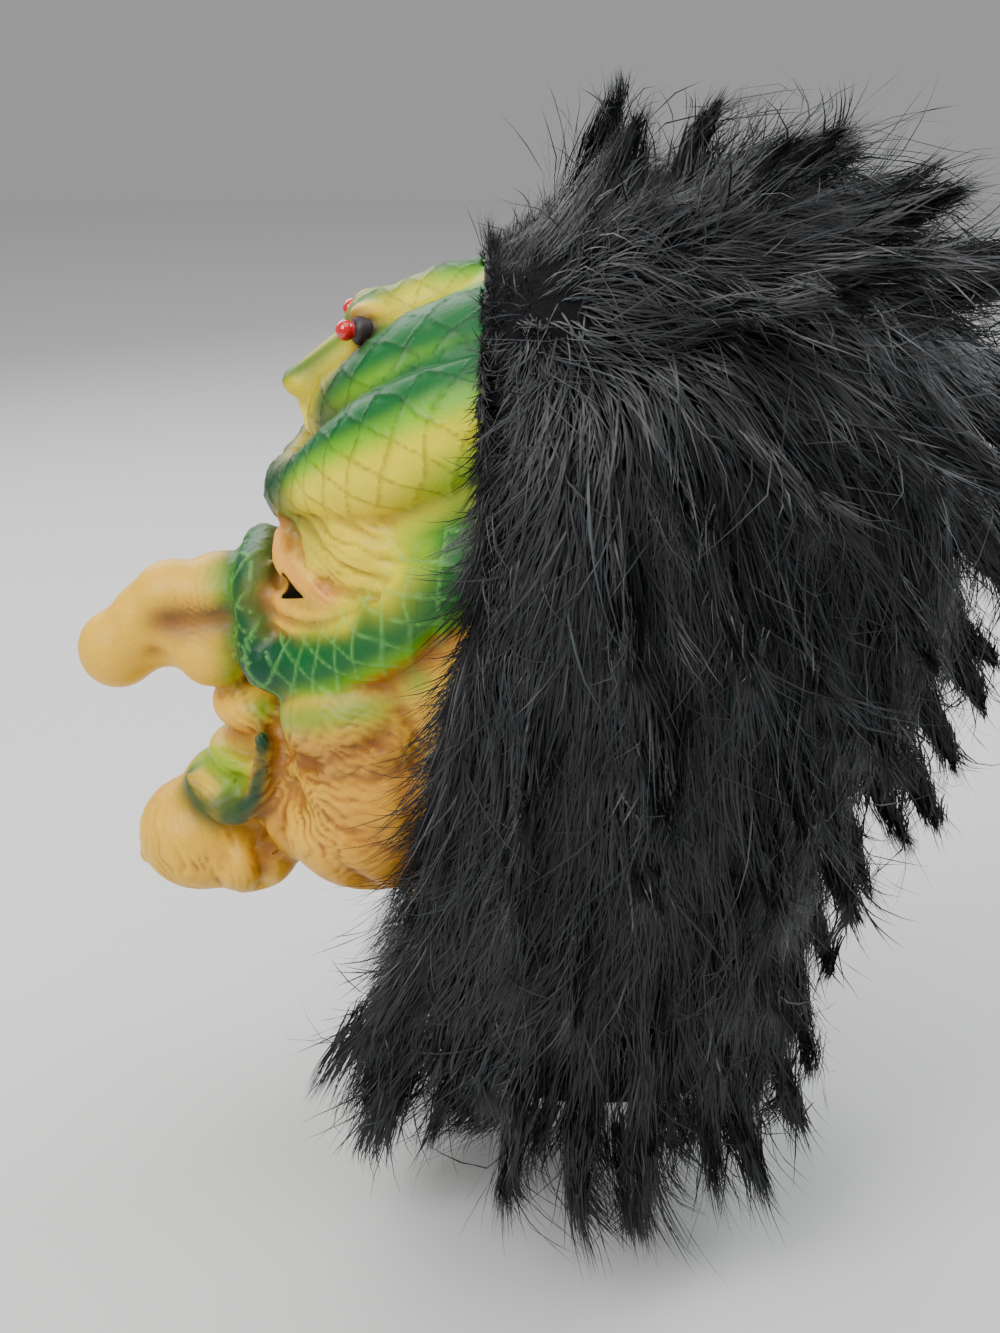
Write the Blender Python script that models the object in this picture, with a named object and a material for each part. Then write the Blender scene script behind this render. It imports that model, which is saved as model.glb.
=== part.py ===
"""Over-the-head witch mask: a hollow latex face with snake coils, and a fur hood joined behind it.

Lengths in the tables are millimetres in the face frame: +X is the wearer's left, +Y goes back,
+Z is up, and its zero lies on the middle plane behind the eyes. A carrier empty moves everything
so that the world's zero is the crown seat, where the wearer's head holds the hood up.
"""
import math
import random
from collections import namedtuple

import bmesh
import bpy
import numpy as np
from mathutils import Vector

MM = 0.001

# Driving sizes
CROWN_SEAT = (0, 45, 186)
LATEX_WALL = 2.8
LATEX_FILLET = 1.6
HOOD_WALL = 2.4
SHORT_PILE = 9.0
FIT_GAP = 0.35
FUR_GAP = 0.8
TUCK_BACK = 8.0
SPARE = 8.0
NECK_BOTTOM = -128.0
HOOD_BOTTOM = -168.0
FUR_SEED = 7

# Mesh fineness
FACE_VOXEL = 2.6
LINING_VOXEL = 3.0
FUR_VOXEL = 4.2
FACE_TRIANGLES = 3700
LINING_TRIANGLES = 1700
FUR_TRIANGLES = 2900
RING_SIDES = 24


def table(columns, *values):
    """Rows with named columns."""
    row = namedtuple("Row", columns)
    return [row(*value) for value in values]


# The hollow of the hood, from its crown to its hem: one flat ring a row
HOOD_RINGS = table(
    "z front back half",
    (186, 24, 70, 26),
    (182, -4, 94, 48),
    (171, -24, 112, 69),
    (152, -44, 130, 84),
    (120, -62, 142, 92),
    (70, -76, 146, 93),
    (15, -76, 140, 90),
    (-40, -66, 128, 85),
    (-90, -48, 120, 80),
    (-128, -34, 117, 79),
    (-185, -30, 120, 80),
)

# The long pile over it, flat rings as above
PILE_RINGS = table(
    "z front back half",
    (214, 45, 95, 34),
    (208, 26, 122, 62),
    (192, 14, 152, 88),
    (165, -10, 180, 106),
    (125, -40, 196, 116),
    (75, -60, 200, 119),
    (15, -70, 192, 117),
    (-45, -66, 160, 111),
    (-100, -58, 142, 106),
    (-145, -50, 139, 102),
    (-176, -44, 134, 96),
)

# Front edge of the hood, seen from the side
HOOD_EDGE = table(
    "y z",
    (-7, 240),
    (-6, 130),
    (-8, 60),
    (-15, 35),
    (-22, -10),
    (-27, -60),
    (-30, -112),
    (-90, -118),
)

# Front edge of the long pile, seen from the side
LONG_PILE_EDGE = table(
    "y z",
    (18, 240),
    (16, 190),
    (8, 150),
    (-3, 110),
    (-8, 60),
    (-15, 35),
    (-22, -10),
    (-27, -60),
    (-30, -112),
    (-90, -118),
)

# Lobes on the middle plane, or mirrored pairs where x isn't zero
HEAD_LOBES = table(
    "name x y z wide deep tall",
    ("forehead", 0, -8, 100, 62, 66, 66),
    ("under_cheek", 34, -54, -6, 42, 42, 34),
    ("jowl", 0, -42, -38, 78, 60, 50),
    ("jowl_bag", 38, -56, -57, 36, 40, 31),
    ("jaw", 0, -84, -50, 42, 38, 44),
    ("between_eyes", 0, -84, 30, 34, 21, 36),
    ("nose_root", 0, -122, 26, 24, 27, 28),
    ("nose_bridge", 0, -145, 26, 19, 21, 25),
    ("nose_bend", 0, -159, 19, 17, 16, 21),
    ("nose_tip", 0, -171, 9, 18, 18.5, 18.5),
    ("nose_wing", 12, -127, 10, 13, 18, 14),
    ("upper_lip", 0, -108, -15, 28, 22, 14),
    ("lower_lip", 0, -113, -39, 26, 20, 12),
    ("chin_shelf", 0, -124, -56, 28, 22, 15),
    ("chin", 0, -138, -82, 31, 30, 27),
    ("under_chin", 0, -116, -88, 33, 24, 21),
    ("snake_skull", 0, -47, 155, 18, 19, 16),
    ("eye_bed", 31, -69, 55, 25, 22, 19),
    ("lid", 30, -34, 72, 42, 46, 30),
)

# Small relief, left out of the hollow behind the skin
RELIEF_LOBES = table(
    "name x y z wide deep tall",
    ("snake_brow", 14, -54, 162, 8, 9, 6),
    ("snake_nose", 0, -84, 131, 10, 9, 7),
    ("snake_jaw", 0, -77, 120, 10, 8.5, 8),
    ("nose_wart", 8, -136, 3, 5, 6, 4),
    ("chin_wart", 0, -165, -94, 5, 4.5, 5.5),
)

# The snake's body and the folds, as ropes from the hem forward: stations along the middle line
NECK_RINGS = table(
    "z front back half",
    (0, -40, 120, 76),
    (-60, -40, 114, 76),
    (-100, -34, 110, 75),
    (-150, -29, 110, 75),
)
SNAKE_NECK = table(
    "x y z radius",
    (0, 20, 162, 18),
    (0, -6, 166, 16),
    (0, -20, 165, 16),
    (0, -34, 160, 15),
    (0, -48, 155, 15),
)
SNAKE_SNOUT = table(
    "x y z radius",
    (0, -50, 148, 15),
    (0, -66, 141, 11),
    (0, -80, 133, 8.5),
    (0, -85, 131, 7.5),
)
TOP_COIL = table(
    "x y z radius",
    (36, 26, 138, 39),
    (34, -4, 139, 38),
    (31, -22, 137, 34),
    (29, -37, 133, 29),
    (23, -51, 127, 23),
    (12, -63, 121, 18),
    (0, -69, 116, 15),
)
BROW_COIL = table(
    "x y z radius",
    (60, 26, 136, 32),
    (60, -6, 132, 31),
    (54, -34, 119, 28),
    (43, -53, 107, 25),
    (27, -69, 95, 20),
    (12, -82, 86, 16.5),
    (0, -87, 84, 15.5),
)
CHEEK_COIL = table(
    "x y z radius",
    (66, 26, 86, 24),
    (68, -4, 76, 23),
    (68, -24, 62, 20.5),
    (65, -37, 48, 19),
    (57, -52, 36, 18),
    (48, -69, 24, 16),
    (40, -83, 18, 14),
    (31, -99, 16, 13.5),
    (26, -105, 34, 10.5),
    (20, -105, 50, 10),
    (0, -104, 53, 10),
)
LID_RIM = table(
    "x y z radius",
    (20, -93, 69, 4),
    (33, -92, 62, 4.5),
    (44, -84, 56, 4.5),
    (56, -69, 52, 4),
    (66, -54, 54, 3),
)
LID_FOLD = table(
    "x y z radius",
    (28, -82, 76, 4),
    (42, -76, 69, 4),
    (56, -64, 62, 4),
    (68, -46, 62, 3.5),
)
LOWER_LID = table(
    "x y z radius",
    (30, -96, 45, 3.5),
    (41, -88, 42, 4),
    (53, -74, 44, 4),
    (62, -60, 50, 3),
)
EYE_BAG = table(
    "x y z radius",
    (31, -96, 37, 4),
    (44, -85, 34, 4.5),
    (57, -68, 38, 4.5),
    (66, -52, 48, 3),
)
SNAKE_TAIL = table(
    "x y z radius",
    (15, -141, -48, 2.6),
    (21, -134, -56, 4),
    (28, -124, -60, 5),
    (33, -114, -56, 5.5),
    (36, -107, -46, 5.5),
    (36, -104, -32, 5),
    (34, -104, -20, 4),
)

# The line where the brow coil lies over the top coil, from the hem to the middle
COIL_GAP_ROUTE = (
    (72, 0, 166),
    (68, -19, 158),
    (62, -33, 149),
    (54, -47, 138),
    (40, -65, 124),
    (20, -78, 110),
    (0, -84, 102),
)

# Folds pressed into the skin: how far each reaches to the sides, and how deep it goes
CREASES = table(
    "name reach depth route",
    ("coil_gap", 4, 4, COIL_GAP_ROUTE),
    ("nostril", 8, 5, ((20, -150, 27), (23, -136, 29), (25, -120, 31))),
    ("nose_fold", 5, 3, ((15, -152, 12), (18, -148, 4), (16, -142, -4))),
    ("mouth", 4, 5, ((0, -130, -27), (15, -125, -28), (24, -114, -31))),
    ("chin_slit", 5, 5, ((26, -110, -70), (30, -106, -88), (22, -108, -104))),
    ("jowl_top", 5, 4, ((84, -26, 42), (82, -38, 20), (78, -48, -2), (66, -70, -14), (50, -88, -26))),
    ("jowl_back", 5, 4, ((80, -46, -4), (82, -38, -30), (80, -34, -52))),
    ("cheek", 6, 5, ((46, -92, -40), (58, -80, -52), (66, -66, -66), (64, -56, -84))),
)

# Eye holes and the snake's bulbs
EYE_HOLE = dict(x=40, y=-84, z=53, half_wide=8.5, half_high=6.0, turn=40)
BULB = dict(x=19.5, y=-58, z=157, dome=4.2, flange=5.2, stem=4.0)
BULB_AXIS = (0.32, -0.94, 0.06)
BULB_PROFILE = table(
    "along radius",
    (-4.0, 4.0),
    (-0.6, 4.0),
    (0.0, 5.2),
    (2.6, 5.2),
    (3.4, 4.4),
    (6.0, 4.4),
    (8.4, 3.7),
    (9.9, 2.0),
)

# Locks on the long pile: rings of locks, with their place round the head from the front, 0, to the back, 180
LOCK_RINGS = table(
    "z first last count length radius lift back drop",
    (176, 66, 180, 5, 44, 12, 0.45, 0.75, -0.45),
    (140, 62, 180, 6, 48, 12, 0.42, 0.55, 0.45),
    (90, 60, 180, 6, 52, 12, 0.45, 0.35, 1.0),
    (42, 58, 176, 6, 54, 12, 0.40, 0.25, 1.1),
    (-5, 60, 176, 6, 54, 12, 0.36, 0.2, 1.2),
    (-50, 58, 176, 6, 56, 12, 0.26, 0.1, 1.3),
    (-95, 50, 178, 7, 60, 11, 0.24, 0.0, 1.3),
    (-140, 6, 178, 10, 64, 10, 0.28, 0.0, 1.3),
)
# Single locks that stand out of the outline: root and tip on the wearer's left or the middle
STRAY_LOCKS = table(
    "root tip radius",
    ((0, 34, 198), (4, 40, 250), 12),
    ((22, 44, 198), (30, 56, 240), 12),
    ((-26, 40, 198), (-34, 50, 238), 12),
    ((0, 66, 202), (2, 84, 240), 12),
    ((34, 84, 196), (44, 104, 226), 12),
    ((0, 104, 196), (4, 134, 235), 12),
    ((-30, 112, 188), (-34, 144, 222), 12),
    ((6, 140, 180), (4, 184, 214), 13),
    ((-10, 158, 150), (-8, 205, 176), 13),
    ((10, 168, 110), (10, 216, 128), 13),
    ((-12, 176, 70), (-10, 222, 66), 13),
    ((8, 176, 30), (8, 224, 8), 13),
    ((30, 158, -4), (34, 196, -48), 12),
    ((80, -16, -86), (74, -52, -128), 9),
    ((62, -22, -130), (52, -70, -158), 10),
    ((30, -34, -146), (24, -68, -184), 9),
    ((88, 50, -150), (108, 60, -228), 9),
)

COLOURS = {
    "face_shell": (0.55, 0.62, 0.12, 1.0),
    "hood_backing": (0.02, 0.02, 0.022, 1.0),
    "fur_pile": (0.012, 0.012, 0.014, 1.0),
    "snake_eye": (0.72, 0.0, 0.01, 1.0),
}


def clear_scene():
    """An empty file to build in."""
    for item in list(bpy.data.objects):
        bpy.data.objects.remove(item, do_unlink=True)


def new_object(name, mesh):
    """A linked object round a mesh."""
    item = bpy.data.objects.new(name, mesh)
    bpy.context.scene.collection.objects.link(item)
    return item


def mesh_from(name, points, faces):
    """A mesh of triangles whose points are given in millimetres, with its faces turned outward."""
    mesh = bpy.data.meshes.new(name)
    mesh.from_pydata([Vector(point) * MM for point in points], [], faces)
    shape = bmesh.new()
    shape.from_mesh(mesh)
    bmesh.ops.triangulate(shape, faces=shape.faces)
    bmesh.ops.recalc_face_normals(shape, faces=shape.faces)
    shape.to_mesh(mesh)
    shape.free()
    return mesh


def evaluated(item):
    """The object's mesh with its modifiers applied; the object itself goes away."""
    view = bpy.context.evaluated_depsgraph_get()
    mesh = bpy.data.meshes.new_from_object(item.evaluated_get(view))
    bpy.data.objects.remove(item, do_unlink=True)
    return mesh


def ellipsoid(row, side=1):
    """A closed ball stretched to a lobe's three radii."""
    shape = bmesh.new()
    bmesh.ops.create_uvsphere(shape, u_segments=28, v_segments=18, radius=1.0)
    radii = Vector((row.wide, row.deep, row.tall)) * MM
    centre = Vector((row.x * side, row.y, row.z)) * MM
    for vertex in shape.verts:
        vertex.co = centre + Vector(a * b for a, b in zip(vertex.co, radii))
    mesh = bpy.data.meshes.new(row.name)
    shape.to_mesh(mesh)
    shape.free()
    return mesh


def smooth_route(stations, steps=5):
    """Stations with others between them, on a Catmull-Rom curve through all the columns."""
    rows = np.array([tuple(station) for station in stations], dtype=float)
    ends = np.vstack([2 * rows[0] - rows[1], rows, 2 * rows[-1] - rows[-2]])
    route = []
    for index in range(len(rows) - 1):
        a, b, c, d = ends[index:index + 4]
        for step in range(steps):
            t = step / steps
            route.append(0.5 * (2 * b + (c - a) * t + (2 * a - 5 * b + 4 * c - d) * t * t
                                + (3 * b - a - 3 * c + d) * t ** 3))
    route.append(rows[-1])
    return np.array(route)


def rope(name, stations, sides=14):
    """A closed round rope through the stations, with domed ends."""
    route = smooth_route(stations)
    places = route[:, :3]
    radii = route[:, 3]
    along = np.gradient(places, axis=0)
    along /= np.linalg.norm(along, axis=1)[:, None]
    up = np.array((0.31, 0.17, 0.93))
    rings = []
    for place, radius, direction in zip(places, radii, along):
        across = np.cross(direction, up)
        across /= np.linalg.norm(across)
        lift = np.cross(across, direction)
        rings.append((place, radius, direction, across, lift))

    def ring(place, radius, across, lift):
        turns = (math.tau * step / sides for step in range(sides))
        return [place + radius * (math.cos(turn) * across + math.sin(turn) * lift) for turn in turns]

    points = []
    count = 0
    dome = (70, 45, 20)
    first, last = rings[0], rings[-1]
    for angle in dome:
        back = first[0] - first[2] * first[1] * math.sin(math.radians(angle))
        points += ring(back, first[1] * math.cos(math.radians(angle)), first[3], first[4])
        count += 1
    for place, radius, _, across, lift in rings:
        points += ring(place, radius, across, lift)
        count += 1
    for angle in reversed(dome):
        ahead = last[0] + last[2] * last[1] * math.sin(math.radians(angle))
        points += ring(ahead, last[1] * math.cos(math.radians(angle)), last[3], last[4])
        count += 1
    faces = [tuple(reversed(range(sides)))]
    for level in range(count - 1):
        for step in range(sides):
            near = level * sides + step
            beside = level * sides + (step + 1) % sides
            faces.append((near, beside, beside + sides, near + sides))
    faces.append(tuple(range((count - 1) * sides, count * sides)))
    return mesh_from(name, points, faces)


def mirrored(stations):
    """The same stations on the wearer's right."""
    return [station._replace(x=-station.x) for station in stations]


def across_face(stations):
    """A route from the left hem over the middle plane to the right hem."""
    return stations + mirrored(stations)[-2::-1]


def fuse(name, meshes, voxel, rounds):
    """One closed skin round all the meshes, softened a little."""
    shape = bmesh.new()
    for mesh in meshes:
        shape.from_mesh(mesh)
        bpy.data.meshes.remove(mesh)
    joined = bpy.data.meshes.new(name)
    shape.to_mesh(joined)
    shape.free()
    item = new_object(name, joined)
    skin = item.modifiers.new("Skin", "REMESH")
    skin.mode = "VOXEL"
    skin.voxel_size = voxel * MM
    soft = item.modifiers.new("Soften", "SMOOTH")
    soft.factor = 0.5
    soft.iterations = rounds
    return evaluated(item)


def largest_body(mesh):
    """Drops loose crumbs that a thin tip can leave."""
    shape = bmesh.new()
    shape.from_mesh(mesh)
    left = set(shape.verts)
    bodies = []
    while left:
        start = left.pop()
        body = {start}
        edge = [start]
        while edge:
            for link in edge.pop().link_edges:
                for vertex in link.verts:
                    if vertex in left:
                        left.remove(vertex)
                        body.add(vertex)
                        edge.append(vertex)
        bodies.append(body)
    biggest = max(bodies, key=len)
    crumbs = [vertex for vertex in shape.verts if vertex not in biggest]
    bmesh.ops.delete(shape, geom=crumbs, context="VERTS")
    shape.to_mesh(mesh)
    shape.free()
    return mesh


def thinned(mesh, triangles):
    """The mesh with about this many triangles."""
    item = new_object(mesh.name, mesh)
    thin = item.modifiers.new("Thin", "DECIMATE")
    present = sum(len(face.vertices) - 2 for face in mesh.polygons)
    thin.ratio = min(1.0, triangles / present)
    thin.use_collapse_triangulate = True
    return largest_body(evaluated(item))


def press(mesh, route, reach, depth):
    """Presses a groove of a given depth along a route, fading out to the sides."""
    count = len(mesh.vertices)
    places = np.empty(count * 3)
    normals = np.empty(count * 3)
    mesh.vertices.foreach_get("co", places)
    mesh.vertex_normals.foreach_get("vector", normals)
    places = places.reshape(-1, 3) / MM
    normals = normals.reshape(-1, 3)
    line = smooth_route([tuple(point) for point in route], steps=12)
    nearest = np.full(count, np.inf)
    for point in line:
        nearest = np.minimum(nearest, np.linalg.norm(places - point, axis=1))
    amount = depth * np.exp(-(nearest / reach) ** 2)
    places -= normals * amount[:, None]
    mesh.vertices.foreach_set("co", (places * MM).ravel())
    mesh.update()


def grown(mesh, margin):
    """The mesh with its surface moved outward by a margin."""
    item = new_object(mesh.name, mesh)
    swell = item.modifiers.new("Swell", "DISPLACE")
    swell.mid_level = 0.0
    swell.strength = margin * MM
    return evaluated(item)


def boolean(mesh, tool, operation="DIFFERENCE"):
    """The mesh after an exact Boolean with a tool mesh, which goes away."""
    item = new_object(mesh.name, mesh)
    cutter = new_object("cutter", tool)
    step = item.modifiers.new("Cut", "BOOLEAN")
    step.operation = operation
    step.solver = "EXACT"
    step.object = cutter
    facets = item.modifiers.new("Facets", "TRIANGULATE")
    facets.quad_method = "BEAUTY"
    result = evaluated(item)
    bpy.data.objects.remove(cutter, do_unlink=True)
    return result


def bag(name, rings, grow=0.0):
    """A closed bag of flat rings, each a rounded oval, grown outward by a margin."""
    points = []
    for index, row in enumerate(rings):
        middle = (row.front + row.back) / 2
        deep = (row.back - row.front) / 2 + grow
        half = row.half + grow
        z = row.z + (grow if index == 0 else 0)
        for step in range(RING_SIDES):
            turn = math.tau * step / RING_SIDES
            cosine = math.cos(turn)
            sine = math.sin(turn)
            x = half * math.copysign(abs(cosine) ** 0.86, cosine)
            y = middle + deep * math.copysign(abs(sine) ** 0.9, sine)
            points.append((x, y, z))
    faces = [tuple(range(RING_SIDES))]
    for level in range(len(rings) - 1):
        for step in range(RING_SIDES):
            near = level * RING_SIDES + step
            beside = level * RING_SIDES + (step + 1) % RING_SIDES
            faces.append((near, near + RING_SIDES, beside + RING_SIDES))
            faces.append((near, beside + RING_SIDES, beside))
    last = (len(rings) - 1) * RING_SIDES
    faces.append(tuple(last + step for step in reversed(range(RING_SIDES))))
    return mesh_from(name, points, faces)


def prism(name, outline, half=220.0):
    """A side outline of (y, z) points carried across the whole width."""
    count = len(outline)
    points = [(-half, y, z) for y, z in outline] + [(half, y, z) for y, z in outline]
    faces = [tuple(range(count)), tuple(reversed(range(count, 2 * count)))]
    for index in range(count):
        after = (index + 1) % count
        faces.append((index, index + count, after + count, after))
    return mesh_from(name, points, faces)


def ahead_of(edge, shift=0.0):
    """A prism of all that lies in front of an edge, the edge moved back by a shift."""
    outline = [(row.y + shift, row.z) for row in edge]
    far = -400
    return prism("ahead", outline + [(far, edge[-1].z), (far, edge[0].z)])


def behind(edge, shift=0.0):
    """A prism of all that lies behind an edge, down past the hem."""
    outline = [(row.y + shift, row.z) for row in edge]
    deep = 400
    low = -400
    return prism("behind", outline + [(-90, low), (deep, low), (deep, edge[0].z)])


def slab(low, high):
    """A wide block between two heights."""
    wide = 400
    return prism("slab", [(-wide, low), (wide, low), (wide, high), (-wide, high)])


def face_solid(with_relief):
    """The filled face: every lobe and rope, the small ones only where the relief is wanted."""
    shapes = []
    for row in HEAD_LOBES + (RELIEF_LOBES if with_relief else []):
        shapes.append(ellipsoid(row))
        if row.x:
            shapes.append(ellipsoid(row, side=-1))
    shapes.append(bag("head", HOOD_RINGS, grow=-LATEX_FILLET))
    shapes.append(bag("neck", NECK_RINGS))
    shapes.append(rope("snake_neck", SNAKE_NECK))
    shapes.append(rope("snake_snout", SNAKE_SNOUT))
    for coil in (TOP_COIL, BROW_COIL, CHEEK_COIL):
        shapes.append(rope("coil", across_face(coil), sides=20))
    if with_relief:
        for fold in (LID_RIM, LID_FOLD, LOWER_LID, EYE_BAG):
            shapes.append(rope("fold", fold))
            shapes.append(rope("fold", mirrored(fold)))
        shapes.append(rope("tail", SNAKE_TAIL))
    return shapes


def keep_out(gap):
    """What lies behind the hood's edge and outside its hollow, both with a gap round them."""
    block = behind(HOOD_EDGE, shift=-gap)
    return boolean(block, bag("hollow", HOOD_RINGS, grow=-gap))


def turned(name, profile, centre, axis, grow=0.0, sides=20):
    """A profile turned round an axis, closed at both ends."""
    direction = Vector(axis).normalized()
    across = direction.cross(Vector((0, 0, 1))).normalized()
    lift = across.cross(direction)
    points = []
    for row in profile:
        place = Vector(centre) + direction * row.along
        for step in range(sides):
            turn = math.tau * step / sides
            swing = math.cos(turn) * across + math.sin(turn) * lift
            points.append(place + (row.radius + grow) * swing)
    faces = [tuple(reversed(range(sides)))]
    for level in range(len(profile) - 1):
        for step in range(sides):
            near = level * sides + step
            beside = level * sides + (step + 1) % sides
            faces.append((near, beside, beside + sides, near + sides))
    last = (len(profile) - 1) * sides
    faces.append(tuple(last + step for step in range(sides)))
    return mesh_from(name, points, faces)


def bulb_place(side):
    """Centre and axis of the snake's eye on one side."""
    centre = (BULB["x"] * side, BULB["y"], BULB["z"])
    axis = (BULB_AXIS[0] * side, BULB_AXIS[1], BULB_AXIS[2])
    return centre, axis


def bulb_pocket(side):
    """The round pocket that a bulb sits in, open to the front."""
    centre, axis = bulb_place(side)
    pocket = table("along radius", (-4.4, 5.6), (30.0, 5.6))
    return turned("pocket", pocket, centre, axis)


def eye_cutter(side):
    """An oval bar through the eye bed, turned to face half sideways."""
    turn = math.radians(EYE_HOLE["turn"])
    axis = (math.sin(turn) * side, -math.cos(turn), 0)
    centre = (EYE_HOLE["x"] * side, EYE_HOLE["y"], EYE_HOLE["z"])
    bar = table("along radius", (-30, 1), (24, 1))
    mesh = turned("eye_hole", bar, centre, axis, sides=16)
    middle = Vector(centre) * MM
    across = Vector((math.cos(turn) * side, math.sin(turn), 0))
    for vertex in mesh.vertices:
        offset = vertex.co - middle
        along = offset.dot(Vector(axis))
        sideways = offset.dot(across)
        vertex.co = (middle + Vector(axis) * along
                     + across * sideways * EYE_HOLE["half_wide"]
                     + Vector((0, 0, offset.z * EYE_HOLE["half_high"])))
    return mesh


def press_creases(mesh):
    """All the folds, on both sides."""
    for row in CREASES:
        other_side = [(-x, y, z) for x, y, z in row.route]
        press(mesh, row.route, row.reach, row.depth)
        press(mesh, other_side, row.reach, row.depth)


def face_skin(with_relief):
    """The outer surface of the filled face, with its hollows rounded as a casting has them."""
    skin = fuse("skin", face_solid(with_relief), FACE_VOXEL, 2)
    skin = fuse("skin", [grown(skin, LATEX_FILLET)], FACE_VOXEL, 1)
    skin = grown(skin, -LATEX_FILLET)
    press_creases(skin)
    return skin


def make_lining():
    """The inner surface of the latex, a wall's thickness inside the face's larger forms."""
    lining = fuse("lining", [grown(face_skin(with_relief=False), -LATEX_WALL)], LINING_VOXEL, 1)
    lining = thinned(lining, LINING_TRIANGLES)
    lining = boolean(lining, keep_out(FIT_GAP + LATEX_WALL))
    lining = boolean(lining, behind(HOOD_EDGE[:-1], shift=TUCK_BACK + SPARE))
    return boolean(lining, slab(-400, NECK_BOTTOM - SPARE))


def make_face_shell(skin, lining):
    """The hollow latex face: its skin less its lining, open at the back, the neck and the eyes."""
    shell = boolean(skin, keep_out(FIT_GAP))
    shell = boolean(shell, behind(HOOD_EDGE[:-1], shift=TUCK_BACK))
    shell = boolean(shell, slab(-400, NECK_BOTTOM))
    shell = boolean(shell, lining)
    for side in (1, -1):
        shell = boolean(shell, eye_cutter(side))
        shell = boolean(shell, bulb_pocket(side))
    return new_object("face_shell", largest_body(shell))


def make_hood_backing():
    """The cloth hood that carries the fur, open at the face and at the neck."""
    cloth = boolean(bag("hood_backing", HOOD_RINGS, grow=HOOD_WALL), bag("hollow", HOOD_RINGS))
    cloth = boolean(cloth, ahead_of(HOOD_EDGE))
    cloth = boolean(cloth, slab(-400, HOOD_BOTTOM))
    return new_object("hood_backing", largest_body(cloth))


def ring_place(rings, z, turn_deg):
    """A point on a bag at a height and a turn round the head, and the way out of it there."""
    heights = [row.z for row in rings][::-1]
    front = np.interp(z, heights, [row.front for row in rings][::-1])
    back = np.interp(z, heights, [row.back for row in rings][::-1])
    half = np.interp(z, heights, [row.half for row in rings][::-1])
    turn = math.radians(turn_deg)
    out = Vector((math.sin(turn), -math.cos(turn), 0))
    place = Vector((half * math.sin(turn), (front + back) / 2 - (back - front) / 2 * math.cos(turn), z))
    return place, out


def lock(root, tip, radius, sag=6.0):
    """One tapered lock of hair from a root to a tip, bowed upward a little."""
    root = Vector(root)
    tip = Vector(tip)
    bow = Vector((0, 0, sag))
    stations = []
    for share, size in ((0.0, 1.0), (0.35, 0.86), (0.7, 0.56), (0.94, 0.34)):
        place = root.lerp(tip, share) + bow * math.sin(math.pi * share)
        stations.append((*place, max(radius * size, 2.9)))
    return rope("lock", stations, sides=8)


def fur_locks():
    """All the locks: rings of them on both sides, and the stray ones."""
    dice = random.Random(FUR_SEED)
    locks = []
    for row in LOCK_RINGS:
        for index in range(row.count):
            for side in (1, -1):
                spread = (row.last - row.first) / row.count
                turn = row.first + spread * (index + 0.5 + dice.uniform(-0.3, 0.3))
                place, out = ring_place(PILE_RINGS, row.z + dice.uniform(-12, 12), turn)
                flow = out * row.lift + Vector((0, row.back, -row.drop))
                flow.normalize()
                root = place - out * 10
                tip = place + flow * row.length * dice.uniform(0.85, 1.1)
                mirror = Vector((side, 1, 1))
                locks.append(lock(root * mirror, tip * mirror, row.radius))
    for row in STRAY_LOCKS:
        locks.append(lock(row.root, row.tip, row.radius))
    return locks


def make_fur_pile(skin):
    """Short pile at the edge, long pile behind it, and its locks, in one body round the hood."""
    band = boolean(bag("band", HOOD_RINGS, grow=SHORT_PILE + HOOD_WALL), ahead_of(HOOD_EDGE))
    long_pile = boolean(bag("long_pile", PILE_RINGS), ahead_of(LONG_PILE_EDGE))
    fur = fuse("fur_pile", [band, long_pile] + fur_locks(), FUR_VOXEL, 2)
    fur = thinned(fur, FUR_TRIANGLES)
    fur = boolean(fur, bag("hollow", HOOD_RINGS, grow=HOOD_WALL + FIT_GAP))
    fur = boolean(fur, ahead_of(HOOD_EDGE[:-2]))
    fur = boolean(fur, grown(skin, FUR_GAP))
    return new_object("fur_pile", largest_body(fur))


def make_snake_eye(name, side):
    """A red glass-like bulb with its flange, in the snake's eye pocket."""
    centre, axis = bulb_place(side)
    return new_object(name, turned(name, BULB_PROFILE, centre, axis, sides=12))


def finish(item, colour, roughness, carrier):
    """Parent, material and shading of one sub-part."""
    material = bpy.data.materials.new(item.name)
    material.use_nodes = True
    shader = material.node_tree.nodes["Principled BSDF"]
    shader.inputs["Base Color"].default_value = colour
    shader.inputs["Roughness"].default_value = roughness
    shader.inputs["Metallic"].default_value = 0.0
    item.data.materials.clear()
    item.data.materials.append(material)
    item.data.shade_smooth()
    item.data.set_sharp_from_angle(angle=math.radians(50))
    item.parent = carrier


def main():
    clear_scene()
    carrier = bpy.data.objects.new("carrier", None)
    bpy.context.scene.collection.objects.link(carrier)
    carrier.location = -Vector(CROWN_SEAT) * MM
    skin = thinned(face_skin(with_relief=True), FACE_TRIANGLES)
    finish(make_face_shell(skin.copy(), make_lining()), COLOURS["face_shell"], 0.45, carrier)
    finish(make_hood_backing(), COLOURS["hood_backing"], 0.9, carrier)
    finish(make_fur_pile(skin), COLOURS["fur_pile"], 0.7, carrier)
    for name, side in (("snake_eye_left", 1), ("snake_eye_right", -1)):
        finish(make_snake_eye(name, side), COLOURS["snake_eye"], 0.08, carrier)


main()
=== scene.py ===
"""Looks of the over-the-head witch mask: painted latex face, red bulb eyes and long black fur.

Lengths in the tables are millimetres in the face frame of the solids: +X is the wearer's left,
+Y goes back, +Z is up. A point minus CROWN_SEAT, in metres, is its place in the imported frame.
"""
import math
from collections import namedtuple

import bmesh
import bpy
import numpy as np
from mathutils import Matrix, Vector, noise
from mathutils.bvhtree import BVHTree
from mathutils.kdtree import KDTree


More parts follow.
